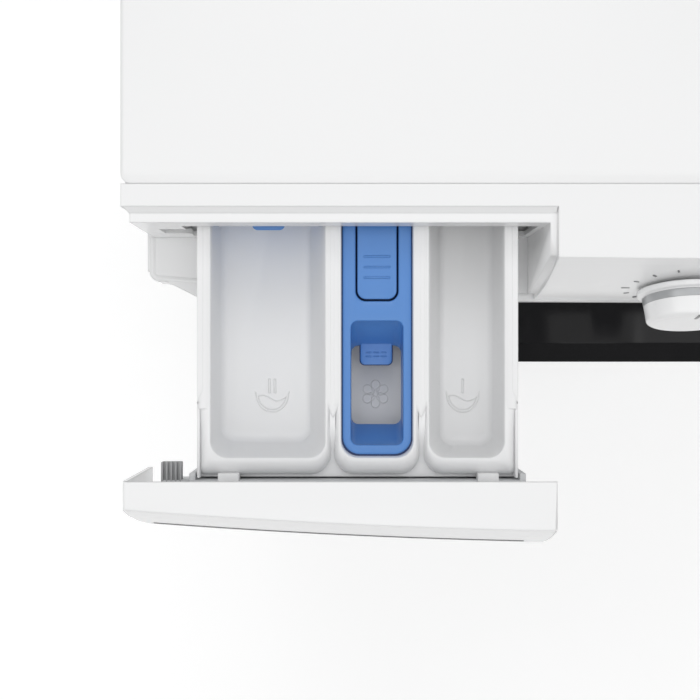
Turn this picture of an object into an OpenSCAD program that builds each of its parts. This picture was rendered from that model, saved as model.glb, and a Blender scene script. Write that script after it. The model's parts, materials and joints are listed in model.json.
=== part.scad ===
// Front load washing machine, with its detergent drawer pulled out to the stop.
// Millimetres. +Z is up, -Y is the front, and the origin is on the floor at the middle of the
// machine's own box, drawer included.
// Most places are given as x, a distance m forward of the front panel's face, and a height z.

/* [Cabinet] */
// Width over the side panels
cab_w = 598; // [590:1:720]
// Height from the floor to the top of the worktop
cab_h = 848; // [840:1:1020]
// Depth from the front panel to the rear panel
cab_d = 548; // [540:1:660]
// Thickness of the sheet steel panels
sheet_t = 1.2; // [1:0.1:1.5]
// Thickness of the worktop
worktop_t = 16; // [12:1:18]
// Height of the panels' lower edge above the floor
skirt_z = 16; // [14:1:20]

/* [Fascia] */
// Height of the control fascia
fascia_h = 100; // [96:1:120]
// Wall thickness of the fascia
fascia_t = 3; // [2:0.5:4]
// Radius of the fascia's bow, seen from above
bow_r = 3838; // [2500:10:6000]
// Radius of the fascia's upright curve
face_r = 352; // [300:1:420]

/* [Detergent drawer] */
// Width of the drawer's front
drawer_front_w = 225.6; // [215:0.1:240]
// How far the drawer slides out
drawer_travel = 142; // [120:1:160]
// Length of the tray
tray_len = 250; // [235:1:270]
// Depth of the tray, rim to underside
tray_h = 50; // [44:1:54]
// Width of the main wash compartment
main_w = 62.6; // [52:0.1:66]
// Width of the softener compartment
soft_w = 39.8; // [36:0.1:46]
// Width of the prewash compartment
pre_w = 41.4; // [35:0.1:48]
// Free space round the tray in its opening
tray_gap = 1.5; // [1:0.1:3]

/* [Wash unit] */
// Height of the drum's axis
drum_z = 430; // [425:1:440]
// Outer radius of the drum
drum_r = 244; // [220:1:248]
// Depth of the drum
drum_d = 295; // [260:1:320]
// Radius of the drum's mouth
mouth_r = 152; // [146:1:160]
// Radial gap between the drum and the tub
tub_gap = 15; // [13:1:18]
// Radius of the big drum pulley
pulley_r = 140; // [120:1:150]
// Radius of the motor pulley
motor_pulley_r = 11; // [9:1:16]

/* [Door] */
// Outer radius of the door
door_r = 232; // [225:1:240]
// How far the door stands out from the front panel
door_proud = 51.6; // [46:0.2:58]
// Radius of the porthole in the front panel
port_r = 170; // [168:1:176]
// Radius of the glass bowl at its widest
bowl_r = 149; // [140:1:150]
// Depth of the bowl behind the front panel
bowl_d = 78; // [60:1:90]

/* [Hidden] */
$fn = 72;

// Small sizes shared by several pieces
eps = 0.5;                                  // overshoot of a cutting tool
seam = 0.4;                                 // gap where two panels meet
run_gap = 0.05;                             // radial running clearance of a pin in its bore
play = 0.8;                                 // free space round a small moving piece

// Cabinet
half_w = cab_w / 2;
inner_w = half_w - sheet_t;                 // half width inside the side panels
worktop_front = -42;                        // m of the worktop's front edge
return_d = 19;                              // depth of the front panel's side returns
flange_w = 14;                              // width of the side panels' folded edges
base_top = skirt_z + 44;
base_floor = skirt_z + 16;                  // top of the base pan's floor
base_t = 4;
rear_m = -cab_d;

// Fascia
fascia_top = cab_h - 2;
fascia_bot = fascia_top - fascia_h;
face_low = 15.6;                            // m of the face at the fascia's lower edge
face_drop = 13.9;                           // centre of the upright curve below the lower edge
face_base = face_low - sqrt(face_r * face_r - face_drop * face_drop);
chin_h = 12;                                // height of the lower strip
chin_z = fascia_bot + chin_h;
chin_corner = 28;                           // length of the strip's slanted corner
chin_side = -1;                             // m where the slanted corner meets the side

// The drawer's pocket in the fascia
pocket_m = min(-22, face_m(half_w, 0) - 7); // back wall of the pocket, behind the face's rearmost point
lip_m = pocket_m - 8;                       // rear of the rebate for the drawer front's top
lip_z = fascia_top - 3.6;                   // rebate that the drawer front's top lies in
ledge_z = chin_z;                           // floor of the pocket
ledge_corner = 6;
drawer_edge_m = lip_m + 0.5;                // rear edge of the drawer front, closed
drawer_front_t = 2.5;
drawer_top_t = 3;
drawer_side_t = 2;
drawer_x0 = -half_w + 1;
drawer_low_z = chin_z + 3;
drawer_corner = 18;
rebate_d = 3.2;                             // depth of the rebate's right side behind the face
grip_line = 40.5;                           // fine groove, down the drawer's front

// Tray
side_rim = 6.9;                             // rim outside the outer compartments
mid_rim = 7.6;                              // rim between two compartments
tray_w = 2 * side_rim + 2 * mid_rim + main_w + soft_w + pre_w;
tray_x0 = -half_w + 36.6;
tray_x1 = tray_x0 + tray_w;
// the drawer front is at least wide enough to cover the tray
drawer_x1 = max(drawer_x0 + drawer_front_w, tray_x1 + 17.1);
pocket_x = drawer_x1 - 3.1;                 // right wall of the pocket
rebate_x = drawer_x1 + 0.6;                 // right end of the rebate round the drawer front
tray_top = fascia_top - 24;
tray_bot = tray_top - tray_h;
tray_m = pocket_m - 6.6;                    // front of the tray, closed
tray_rear = tray_m - tray_len;
tray_floor = 3;
front_rim = 10.7;                           // from the tray's front to its compartments
main_x = tray_x0 + side_rim;
soft_x = main_x + main_w + mid_rim;
pre_x = soft_x + soft_w + mid_rim;
bowl_m0 = tray_m - front_rim;
bowl_m1 = tray_rear + 8;
deck_m = tray_m - 42;                       // where the flat top deck ends
low_deck = tray_top - 12;                   // deck between the compartments' rounded fronts

// Tray carrier and opening
carrier_side = 4.2;                         // how far the carrier is wider than the tray
carrier_t = 3.4;
carrier_gap = 1;                            // between the tray's front and its carrier
open_x0 = tray_x0 - carrier_side - tray_gap - 2;
open_x1 = pocket_x - 3.5;
open_z0 = tray_bot - tray_gap;
open_z1 = tray_top + 2;
catch_x = tray_x0 - 21.5;                   // ribbed catch beside the tray
catch_w = 11.6;
catch_z = fascia_top - 61;
catch_h = 22;

// Siphon insert
insert_gap = 0.6;
insert_z = tray_top - 4;                    // top of the insert's cover
insert_t = 2;
insert_x = soft_x + insert_gap;
insert_w = soft_w - 2 * insert_gap;
insert_m0 = bowl_m0 - 2.2;
insert_m1 = bowl_m1 + 6;
well_w = 28;
well_m0 = bowl_m0 - 7.5;
well_m1 = well_m0 - 66.7;
tab_w = 21.4;
tab_m0 = well_m1 - 11.5;
tab_len = 76;
soft_mid = soft_x + soft_w / 2;

// Liquid detergent flap
flap_m = tray_m - 141.1;
flap_z = tray_top - 6;                      // pivot height
flap_h = 36;
flap_lean = 5;                              // how far the blade's foot is behind its pin
flap_pin_r = 1.6;

// Drum axis frame: distances are m, forward of the front panel
tub_r = drum_r + tub_gap;                   // inside radius of the tub
tub_t = 5;
tub_out = tub_r + tub_t;
tub_m0 = -60;                               // front face of the tub
neck_r = mouth_r + 10;
neck_m = -48;
drum_m0 = -76;
drum_m1 = drum_m0 - drum_d;
drum_t = 1.2;
tub_m1 = drum_m1 - 34;                      // inside of the tub's rear wall
tub_split = drum_m0 - drum_d / 2;
hub_r = 44;
hub_m = tub_m1 - 52;
shaft_r = 15;
bearing_r = 31;
bearing_w = 16;
pulley_m = hub_m - 10;                      // front face of the drum pulley
pulley_w = 18;
belt_t = 4;
motor_r = 50;
motor_z = drum_z - tub_out - motor_r - 12;
motor_m1 = hub_m - 4;
motor_len = 112;

// Wash unit supports
spring_x = 250;
spring_m = tub_split - 32;
spring_z0 = drum_z + 168;
hanger_z = fascia_bot + 4;
spring_r = 11;
wire_r = 2.4;
damper_x = 150;
damper_ms = [tub_m0 - 60, tub_m1 + 70];
damper_rod_r = 8;
damper_out = 13;
damper_gap = 0.3;
lug_z = drum_z - tub_rise(damper_x) - 16;   // underside of the tub's damper lugs
damper_cyl_top = lug_z - 60;
lifter_h = 46;
lifter_w = 26;                              // half width at its base
lifter_base = sqrt(pow(drum_r - drum_t, 2) - lifter_w * lifter_w) - 0.3;

// Door
hinge_x = -(door_r + 11);
hinge_m = 30;
hinge_pin_r = 4;
knuckle_z = 40;                             // half height of the arm's barrel
hinge_lug_h = 12;
door_back = 3;
lock_x = door_r - 20;                       // x of the latch
bowl_foot = 112;                            // radius of the bowl's bottom
glass_t = 5;
ring_in = bowl_r + 13;                      // inner radius of the door frame's front

// Pump and service flap
pump_x = half_w - 74;
pump_z = 97;
pump_r = 34;
cap_r = 30;
flap_half_w = 53;
flap_lo = 48;
flap_hi = 146;

// Controls on the fascia
control_down = 48;                          // how far down the face the controls sit
knob_x = 8;
knob_r = 25;
knob_shaft_r = 5;
display_x = 112;
display_w = 96;
display_h = 34;
option_xs = [184, 212];
option_w = 20;
option_h = 11;
start_x = 250;
start_r = 11;
button_proud = 1.6;

// Dispenser housing, and the hoses' ends
housing_x = [open_x0 - 2, open_x1 + 2];
housing_m = [tray_rear - 14, pocket_m - fascia_t - 0.3];
housing_z = [open_z0 - 4, open_z1 + 1];
outlet_x = tray_x1 - 44;
outlet_m = tray_rear + 30;
hose_r = 16;
fill_x = -130;
fill_m = outlet_m + 2;
fill_z = drum_z + tub_rise(-fill_x) + 18;
drain_x = 90;
drain_m = -80;
drain_z = drum_z - tub_rise(drain_x) - 12;

// Rear connections
valve_x = -half_w + 70;
valve_z = cab_h - 84;
thread_r = 13.2;
thread_len = 14;
gland_x = half_w - 70;

// Feet
foot_x = half_w - 38;
foot_front = -42;
foot_rear = rear_m + 38;
foot_pad_r = 20;
stem_r = 4;
stem_gap = 0.3;

// The front of the machine's box is the chin of the pulled-out drawer's front.
drawer_reach = drawer_travel + face_m(drawer_x1, fascia_top - drawer_low_z);
front_y = drawer_reach - (cab_d + thread_len + drawer_reach) / 2;

// ---------- Functions ----------

// m of the fascia's face, at a distance down from its top edge
function skin_m(down) = face_base + sqrt(face_r * face_r - pow(fascia_h + face_drop - down, 2));

// m of the bowed face at a place across the machine
function face_m(x, down) = skin_m(down) - (bow_r - sqrt(bow_r * bow_r - x * x));

// Tilt of the face from upright, at a distance down from its top edge
function face_tilt(down) = asin((fascia_h + face_drop - down) / face_r);

// Height of the tub's outside above or below the drum axis, at a distance to the side
function tub_rise(x) = sqrt(tub_out * tub_out - x * x);

// Point on a smooth curve from a to d that leaves a along b - a and meets d along d - c
function bend(a, b, c, d, t) =
    a * pow(1 - t, 3) + b * 3 * t * pow(1 - t, 2) + c * 3 * t * t * (1 - t) + d * pow(t, 3);

function unit(v) = v / norm(v);

// ---------- Shared shapes ----------

// Box from ranges of x, m and z
module slab(x, m, z) {
    translate([x[0], front_y - max(m[0], m[1]), z[0]])
        cube([x[1] - x[0], abs(m[1] - m[0]), z[1] - z[0]]);
}

// Rectangle from corner to corner, with round corners
module rounded(x, y, r) {
    translate([x[0] + r, y[0]]) square([x[1] - x[0] - 2 * r, y[1] - y[0]]);
    translate([x[0], y[0] + r]) square([x[1] - x[0], y[1] - y[0] - 2 * r]);
    for (cx = [x[0] + r, x[1] - r], cy = [y[0] + r, y[1] - r])
        translate([cx, cy]) circle(r);
}

// Upright prism with round corners, from ranges of x, m and z
module rounded_slab(x, m, z, r) {
    translate([0, 0, z[0]])
        linear_extrude(z[1] - z[0])
            rounded(x, [front_y - max(m[0], m[1]), front_y - min(m[0], m[1])], r);
}

// Drum axis frame: local z is m, local y is height above the axis
module on_axis() {
    translate([0, front_y, drum_z]) rotate([90, 0, 0]) children();
}

// Solid of revolution about the drum axis from [radius, m] points
module turned(points) {
    on_axis() rotate_extrude() polygon(points);
}

// Cylinder pointing forward, from ranges of m
module front_rod(x, z, m, r) {
    translate([x, front_y - m[0], z]) rotate([90, 0, 0]) cylinder(h = m[1] - m[0], r = r);
}

// Cylinder across the machine
module cross_rod(x, m, z, r) {
    translate([x[0], front_y - m, z]) rotate([0, 90, 0]) cylinder(h = x[1] - x[0], r = r);
}

// Upright cylinder
module post(x, m, z, r) {
    translate([x, front_y - m, z[0]]) cylinder(h = z[1] - z[0], r = r);
}

// Frame on the fascia's face: local z points out of the face, local y up it
module on_face(x, down) {
    translate([x, front_y - face_m(x, down), fascia_top - down])
        rotate([90 - face_tilt(down), 0, 0]) children();
}

// Bowed block under the fascia's face, set back by inset
module skin_block(inset, z0, z1) {
    half_a = asin((half_w + 6) / bow_r);
    steps = 12;
    face = [for (i = [0:steps]) let (z = z0 + (z1 - z0) * i / steps)
        [bow_r + skin_m(fascia_top - z) - inset, z]];
    translate([0, front_y + bow_r, 0])
        rotate([0, 0, -90 - half_a])
            rotate_extrude(angle = 2 * half_a, $fn = 360)
                polygon(concat([[bow_r - 90, z0]], face, [[bow_r - 90, z1]]));
}

// Round tube or rod swept along points, with a flat end at each end
module sweep(path, r, sides) {
    n = len(path);
    rings = [for (i = [0:n - 1])
        let (
            ahead = path[min(i + 1, n - 1)],
            behind = path[max(i - 1, 0)],
            t = unit(ahead - behind),
            side = unit(cross(t, abs(t[1]) < 0.9 ? [0, 1, 0] : [1, 0, 0])),
            up = cross(side, t)
        )
        for (k = [0:sides - 1])
            path[i] + r * (side * cos(360 * k / sides) + up * sin(360 * k / sides))];
    walls = [for (i = [0:n - 2], k = [0:sides - 1])
        let (a = i * sides + k, b = i * sides + (k + 1) % sides)
            for (f = [[a, b, b + sides], [a, b + sides, a + sides]]) f];
    start = [for (k = [1:sides - 2]) [0, k + 1, k]];
    last = (n - 1) * sides;
    end = [for (k = [1:sides - 2]) [last, last + k, last + k + 1]];
    polyhedron(rings, concat(walls, start, end));
}

// ---------- Cabinet ----------

module side_panel() {
    m0 = -return_d - seam;
    m1 = rear_m + sheet_t + seam;
    top = cab_h - worktop_t;
    low = fascia_bot - seam;
    slab([inner_w, half_w], [m0, m1], [skirt_z, low]);
    slab([inner_w, half_w], [worktop_front - 1, m1], [low - eps, top]);
    slab([half_w - flange_w, inner_w + eps / 2], [m0 - sheet_t, m0], [skirt_z, low]);
    slab([half_w - flange_w, inner_w + eps / 2], [m1, m1 + sheet_t], [skirt_z, top]);
}

module side_panel_right() {
    color("white") side_panel();
}

module side_panel_left() {
    color("white") mirror([1, 0, 0]) side_panel();
}

module front_panel() {
    z = [skirt_z, fascia_bot - seam];
    color("white") difference() {
        union() {
            slab([-half_w, half_w], [-sheet_t, 0], z);
            for (side = [-1, 1])
                slab([min(side * inner_w, side * half_w), max(side * inner_w, side * half_w)], [-return_d, 0], z);
            turned([[port_r, -9], [port_r + sheet_t, -9], [port_r + sheet_t, 0], [port_r, 0]]);
        }
        front_rod(0, drum_z, [-10, eps], port_r);
        slab([pump_x - flap_half_w, pump_x + flap_half_w], [-sheet_t - eps, eps], [flap_lo, flap_hi]);
        slab([lock_x - 10, lock_x + 12], [-sheet_t - eps, eps], [drum_z - 17, drum_z + 17]);
    }
}

module rear_panel() {
    transport_x = 150;
    color("gainsboro") difference() {
        slab([-inner_w + seam, inner_w - seam], [rear_m, rear_m + sheet_t], [base_top, cab_h - worktop_t - seam]);
        front_rod(valve_x, valve_z, [rear_m - eps, rear_m + sheet_t + eps], thread_r + 1.5);
        front_rod(gland_x, valve_z, [rear_m - eps, rear_m + sheet_t + eps], 9.5);
        for (x = [-transport_x, transport_x], z = [drum_z - 120, drum_z + 120])
            front_rod(x, z, [rear_m - eps, rear_m + sheet_t + eps], 9);
    }
}

module base_pan() {
    x = inner_w - seam;
    m0 = -return_d - sheet_t - 3 * seam;
    m1 = rear_m + sheet_t + seam + sheet_t + seam;
    color("dimgray") difference() {
        slab([-x, x], [m1, m0], [skirt_z, base_top]);
        slab([-x + base_t, x - base_t], [m1 + base_t, m0 - base_t], [base_floor, base_top + eps]);
        slab([-x + base_t, x - base_t], [m1 + base_t, m0 - base_t], [skirt_z - eps, base_floor - base_t]);
        for (sx = [-foot_x, foot_x], m = [foot_front, foot_rear])
            post(sx, m, [base_floor - base_t - eps, base_floor + eps], stem_r + stem_gap);
    }
}

module worktop() {
    color("white") rounded_slab([-half_w, half_w], [rear_m, worktop_front], [cab_h - worktop_t, cab_h], 5);
}

module top_braces() {
    rail_m = [rear_m + 40, worktop_front - 14];
    color("lightgray") {
        slab([-inner_w + seam, inner_w - seam], [worktop_front - 38, worktop_front - 14], [fascia_bot - 2, fascia_bot + 10]);
        slab([-inner_w + seam, inner_w - seam], [rear_m + 20, rear_m + 40], [cab_h - worktop_t - 26, cab_h - worktop_t - 1]);
        for (side = [-1, 1]) {
            slab([min(side * (inner_w - seam), side * (inner_w - 12)), max(side * (inner_w - seam), side * (inner_w - 12))],
                [rail_m[0] - 1, rail_m[1]], [hanger_z, hanger_z + 6]);
            slab([min(side * (inner_w - 2), side * (spring_x - 14)), max(side * (inner_w - 2), side * (spring_x - 14))],
                [spring_m - 14, spring_m + 14], [hanger_z, hanger_z + 6]);
            slab([min(side * (inner_w - seam), side * (inner_w - 12)), max(side * (inner_w - seam), side * (inner_w - 12))],
                [rear_m + 22, rear_m + 40], [hanger_z, cab_h - worktop_t - 2]);
        }
    }
}

module cabinet_screws() {
    head_r = 4;
    color("silver") for (x = [-half_w + 30, -100, 100, half_w - 30], z = [base_top + 10, cab_h - worktop_t - 12])
        front_rod(x, z, [rear_m - 2.2, rear_m], head_r);
}

module mains_gland() {
    color("dimgray") difference() {
        union() {
            front_rod(gland_x, valve_z, [rear_m - 9, rear_m - 0.01], 12);
            front_rod(gland_x, valve_z, [rear_m - 1, rear_m + 12], 9);
        }
        front_rod(gland_x, valve_z, [rear_m - 10, rear_m + 13], 3.8);
    }
}

// ---------- Fascia and controls ----------

// Plan of the lower strip, from the rear line forward
module chin_plan() {
    front = face_low + 0.2;
    polygon([
        [-half_w + 1.5, front_y - worktop_front + 0.5], [-half_w + 1.5, front_y - chin_side],
        [-half_w + 1.5 + chin_corner, front_y - front + 2.6], [-half_w / 2, front_y - front + 0.6],
        [0, front_y - front],
        [half_w / 2, front_y - front + 0.6], [half_w - 1.5 - chin_corner, front_y - front + 2.6],
        [half_w - 1.5, front_y - chin_side], [half_w - 1.5, front_y - worktop_front + 0.5]
    ]);
}

module fascia_outside(inset) {
    intersection() {
        skin_block(inset, fascia_bot - eps * (inset > 0 ? 1 : 0), fascia_top - inset);
        slab([-half_w + inset, half_w - inset], [worktop_front + 0.1 - 10 * inset, 30], [fascia_bot, fascia_top]);
    }
}

module pocket_walls() {
    intersection() {
        skin_block(0, fascia_bot, fascia_top);
        union() {
            slab([-half_w + 4, pocket_x + 6.5], [lip_m - fascia_t, 30], [lip_z - fascia_t, fascia_top]);
            slab([-half_w + 4, pocket_x + 6.5], [pocket_m - fascia_t, 30], [fascia_bot, lip_z]);
        }
    }
}

module pocket_cuts() {
    corner_m = face_m(drawer_x0 + ledge_corner, fascia_h - chin_h) - ledge_corner;
    // the pocket, the rebate for the drawer front's top, and the side flange's room
    slab([-half_w - eps, pocket_x], [pocket_m, 40], [ledge_z, fascia_top + eps]);
    slab([-half_w - eps, rebate_x], [lip_m, 40], [lip_z, fascia_top + eps]);
    slab([-half_w - eps, drawer_x0 + drawer_side_t + seam], [drawer_edge_m - seam, 40], [chin_z, fascia_top + eps]);
    // the drawer front's right edge lies in a rebate
    difference() {
        slab([pocket_x - eps, rebate_x], [pocket_m, 40], [ledge_z, fascia_top + eps]);
        skin_block(rebate_d, ledge_z - eps, fascia_top + 2 * eps);
    }
    // round left corner of the pocket's floor
    difference() {
        slab([-half_w - eps, drawer_x0 + ledge_corner], [corner_m, 40], [fascia_bot - eps, ledge_z + eps]);
        post(drawer_x0 + ledge_corner, corner_m, [fascia_bot - 2 * eps, ledge_z + 2 * eps], ledge_corner);
    }
    // the tray's opening and channel, and the catch's slot
    slab([open_x0, open_x1], [lip_m - fascia_t - eps, 40], [open_z0, open_z1]);
    slab([catch_x - play, open_x0 + eps], [pocket_m - fascia_t - eps, pocket_m + eps], [catch_z - play, catch_z + catch_h + play]);
}

module fascia() {
    color("white") difference() {
        union() {
            difference() {
                fascia_outside(0);
                fascia_outside(fascia_t);
            }
            pocket_walls();
            translate([0, 0, fascia_bot]) linear_extrude(chin_h) chin_plan();
        }
        pocket_cuts();
        // the hollow of the lower strip, open at the back
        slab([-half_w + 6, half_w - 6], [worktop_front - 1, chin_side - 6], [fascia_bot + fascia_t, chin_z - fascia_t]);
        // the hollow behind the controls reaches the strip
        slab([pocket_x + 6.5, half_w - 6], [worktop_front - 1, chin_side - 6], [fascia_bot + fascia_t, chin_z + eps]);
        on_face(knob_x, control_down) cylinder(h = 40, r = knob_shaft_r + play, center = true);
        on_face(start_x, control_down) cylinder(h = 40, r = start_r + play / 2, center = true);
        for (x = option_xs)
            on_face(x, control_down)
                cube([option_w + play, option_h + play, 40], center = true);
        on_face(display_x, control_down) cube([display_w + 0.2, display_h + 0.2, 40], center = true);
    }
}

module program_knob() {
    color("white") on_face(knob_x, control_down) {
        translate([0, 0, 1.6]) cylinder(h = 3, r = knob_r + 3);
        translate([0, 0, 4.6 - 0.01]) cylinder(h = 15, r1 = knob_r, r2 = knob_r - 2);
        translate([0, 0, -14]) cylinder(h = 14 + 2, r = knob_shaft_r);
    }
}

module start_button() {
    color("white") on_face(start_x, control_down)
        translate([0, 0, -9]) cylinder(h = 9 + button_proud, r = start_r);
}

module option_button(x) {
    color("white") on_face(x, control_down)
        translate([-option_w / 2, -option_h / 2, -9]) cube([option_w, option_h, 9 + button_proud]);
}

module option_button_left() {
    option_button(option_xs[0]);
}

module option_button_right() {
    option_button(option_xs[1]);
}

module display_window() {
    color("black") on_face(display_x, control_down)
        translate([-display_w / 2, -display_h / 2, -3]) cube([display_w, display_h, 4]);
}

module control_module() {
    color("dimgray")
        slab([pocket_x + 26, half_w - 14], [worktop_front + 2, -20], [fascia_bot + 16, fascia_top - 18]);
}

// ---------- Service flap, pump and feet ----------

module service_flap() {
    color("white") difference() {
        slab([pump_x - flap_half_w + 1, pump_x + flap_half_w - 1], [-1, 1.5], [flap_lo + 1, flap_hi - 1]);
        slab([pump_x - 14, pump_x + 14], [0.2, 2], [flap_hi - 14, flap_hi - 4]);
    }
}

module filter_cap() {
    color("dimgray") {
        front_rod(pump_x, pump_z, [-24, -14], cap_r);
        slab([pump_x - 22, pump_x + 22], [-14 - eps, -5], [pump_z - 4, pump_z + 4]);
    }
}

module drain_pump() {
    color("dimgray") difference() {
        union() {
            front_rod(pump_x, pump_z, [-112, -12], pump_r);
            front_rod(pump_x, pump_z, [-160, -111], 27);
            cross_rod([pump_x - pump_r - 16, pump_x - pump_r + 6], drain_m, pump_z, 15);
            slab([pump_x - 24, pump_x + 24], [-100, -30], [base_floor, pump_z - 20]);
        }
        front_rod(pump_x, pump_z, [-104, -12 + eps], pump_r - 3);
        cross_rod([pump_x - pump_r - 17, pump_x - 26], drain_m, pump_z, 12);
    }
}

module pump_impeller() {
    color("white") {
        front_rod(pump_x, pump_z, [-102, -97], 20);
        front_rod(pump_x, pump_z, [-98, -84], 5);
        for (a = [0:60:300])
            translate([pump_x, front_y + 97.5, pump_z]) rotate([0, a, 0])
                translate([3, 0, -1]) rotate([90, 0, 0]) cube([15, 2, 12]);
    }
}

module foot(x, m) {
    color("dimgray") {
        post(x, m, [0, 12], foot_pad_r);
        post(x, m, [12 - eps, base_floor + 20], stem_r);
    }
}

module foot_front_left() {
    foot(-foot_x, foot_front);
}

module foot_front_right() {
    foot(foot_x, foot_front);
}

module foot_rear_left() {
    foot(-foot_x, foot_rear);
}

module foot_rear_right() {
    foot(foot_x, foot_rear);
}

module foot_locknuts() {
    nut_h = 6;
    color("silver") for (x = [-foot_x, foot_x], m = [foot_front, foot_rear])
        difference() {
            translate([x, front_y - m, base_floor - base_t - nut_h]) cylinder(h = nut_h, r = 7.5, $fn = 6);
            post(x, m, [base_floor - base_t - nut_h - eps, base_floor], stem_r + stem_gap);
        }
}

// ---------- Detergent drawer, drawn closed and then pulled out ----------

module pulled_out() {
    translate([0, -drawer_travel, 0]) children();
}

// Plan of the drawer front, inset evenly, with its round left corner
module drawer_plan(inset) {
    x0 = drawer_x0 + inset;
    x1 = drawer_x1 - inset;
    y0 = front_y - 40;
    corner_y = front_y - face_m(drawer_x0 + drawer_corner, fascia_top - drawer_low_z) + inset;
    y1 = front_y - drawer_edge_m;
    difference() {
        translate([x0, y0]) square([x1 - x0, y1 - y0]);
        translate([x0 - eps, y0 - eps]) square([drawer_corner - inset + eps, corner_y - y0 + drawer_corner - inset + eps]);
    }
    intersection() {
        translate([drawer_x0 + drawer_corner, corner_y + drawer_corner - inset]) circle(drawer_corner - inset);
        translate([x0, y0]) square([x1 - x0, y1 - y0]);
    }
}

module drawer_front() {
    inner_side = drawer_side_t;
    color("white") pulled_out() {
        difference() {
            intersection() {
                skin_block(0, drawer_low_z, fascia_top);
                translate([0, 0, drawer_low_z - 1]) linear_extrude(fascia_h) drawer_plan(0);
            }
            intersection() {
                skin_block(drawer_front_t, drawer_low_z - 1, fascia_top - drawer_top_t);
                translate([0, 0, drawer_low_z - 2]) linear_extrude(fascia_h)
                    union() {
                        drawer_plan(inner_side);
                        // open to the rear and to the right
                        translate([drawer_x0 + inner_side, front_y - drawer_edge_m - 1])
                            square([drawer_front_w, 10]);
                        translate([drawer_x1 - 20, front_y - 40]) square([30, 80]);
                    }
            }
            // fine groove above the finger grip
            difference() {
                slab([drawer_x0 + 9.6, drawer_x1 - 11.6], [-20, 40], [fascia_top - grip_line - 0.4, fascia_top - grip_line + 0.4]);
                skin_block(1, drawer_low_z, fascia_top);
            }
        }
        // posts that carry the tray's carrier
        for (x = [tray_x0 + 24, tray_x1 - 24])
            slab([x - 6, x + 6], [tray_m + carrier_gap + carrier_t, face_m(x, 40) - drawer_front_t + 1],
                [fascia_top - 53, fascia_top - 35]);
    }
}

module drawer_carrier() {
    x0 = tray_x0 - carrier_side;
    x1 = tray_x1 + carrier_side;
    m1 = tray_m + carrier_gap + carrier_t;
    color("lightgray") pulled_out() {
        slab([x0, x1], [tray_m + carrier_gap, m1], [tray_bot + 2, tray_top]);
        // arm to the ribbed catch beside the tray, and the catch with its ribs
        slab([catch_x, x0 + eps], [m1 - 2, m1], [catch_z, catch_z + catch_h]);
        slab([catch_x, catch_x + catch_w], [tray_m - 7.6, m1 + 5], [catch_z + 2, catch_z + catch_h - 2]);
        for (i = [0:4])
            slab([catch_x + i * 2.5, catch_x + i * 2.5 + 1.3], [tray_m - 7.6, m1 + 5], [catch_z + catch_h - 2 - eps, catch_z + catch_h]);
    }
}

// One compartment's plan, from the front rim back
module compartment(x, w, z, grow, r) {
    rounded_slab([x - grow, x + w + grow], [bowl_m1 - grow, bowl_m0 + grow], z, r + grow);
}

module drawer_tray() {
    corner = 12;
    shell = 2.4;
    color("whitesmoke") pulled_out() difference() {
        union() {
            for (c = [[main_x, main_w], [soft_x, soft_w], [pre_x, pre_w]])
                compartment(c[0], c[1], [tray_bot, tray_top], shell, corner);
            slab([tray_x0, tray_x1], [tray_rear, deck_m], [tray_top - 3, tray_top]);
            slab([tray_x0, tray_x1], [tray_rear, tray_m], [low_deck - 3, low_deck]);
            slab([tray_x0, tray_x1], [tray_rear, bowl_m1 - shell + 1], [tray_bot, tray_top]);
            // hooks over the carrier
            for (x = [tray_x0 + 11, tray_x1 - 20])
                slab([x, x + 10.8], [tray_m - front_rim + 2, tray_m + carrier_t + 0.6], [tray_top, tray_top + 1.2]);
            for (x = [tray_x0 + 11, tray_x1 - 20])
                slab([x, x + 10.8], [tray_m - front_rim + 2, tray_m - 2.4], [low_deck - 1, tray_top + 1.2]);
        }
        for (c = [[main_x, main_w], [soft_x, soft_w], [pre_x, pre_w]])
            compartment(c[0], c[1], [tray_bot + tray_floor, tray_top + 2], 0, corner);
        // water runs out at the back of the two powder compartments
        for (c = [[main_x, main_w], [pre_x, pre_w]])
            slab([c[0] + corner, c[0] + c[1] - corner], [tray_rear - eps, bowl_m1 + eps], [tray_bot + tray_floor, tray_top - 14]);
        // seats of the flap's pins
        cross_rod([main_x - 1.5, main_x + main_w + 1.5], flap_m, flap_z, flap_pin_r + play / 2);
    }
}

module siphon_insert() {
    well_x = soft_mid - well_w / 2;
    wall = 1.5;
    well_low = insert_z - 24;
    color("royalblue") pulled_out() difference() {
        union() {
            rounded_slab([insert_x, insert_x + insert_w], [insert_m1, insert_m0], [insert_z - insert_t, insert_z], 11.5);
            slab([insert_x + 1, insert_x + 2.5], [insert_m1 + 14, insert_m0 - 14], [insert_z - 14, insert_z - 1]);
            slab([insert_x + insert_w - 2.5, insert_x + insert_w - 1], [insert_m1 + 14, insert_m0 - 14], [insert_z - 14, insert_z - 1]);
            rounded_slab([well_x - wall, well_x + well_w + wall], [well_m1 - wall, well_m0 + wall], [well_low, insert_z - 1], 5);
            post(soft_mid, insert_m1 + 22, [tray_bot + tray_floor + 1.5, insert_z - 1], 9);
        }
        rounded_slab([well_x, well_x + well_w], [well_m1, well_m0], [well_low - eps, insert_z + eps], 4);
        rounded_slab([soft_mid - tab_w / 2 - play, soft_mid + tab_w / 2 + play],
            [tab_m0 - tab_len - play, tab_m0 + play], [insert_z - insert_t - 2, insert_z + eps], 5);
        post(soft_mid, insert_m1 + 22, [tray_bot, insert_z - 3], 6.5);
    }
}

module release_tab() {
    color("royalblue") pulled_out() {
        rounded_slab([soft_mid - tab_w / 2, soft_mid + tab_w / 2], [tab_m0 - tab_len, tab_m0], [insert_z - 2, insert_z + 0.2], 4.2);
        for (i = [0:2])
            slab([soft_mid - 7, soft_mid + 7], [tab_m0 - 12.6 - i * 5.4, tab_m0 - 11.6 - i * 5.4], [insert_z, insert_z + 0.7]);
    }
}

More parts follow.
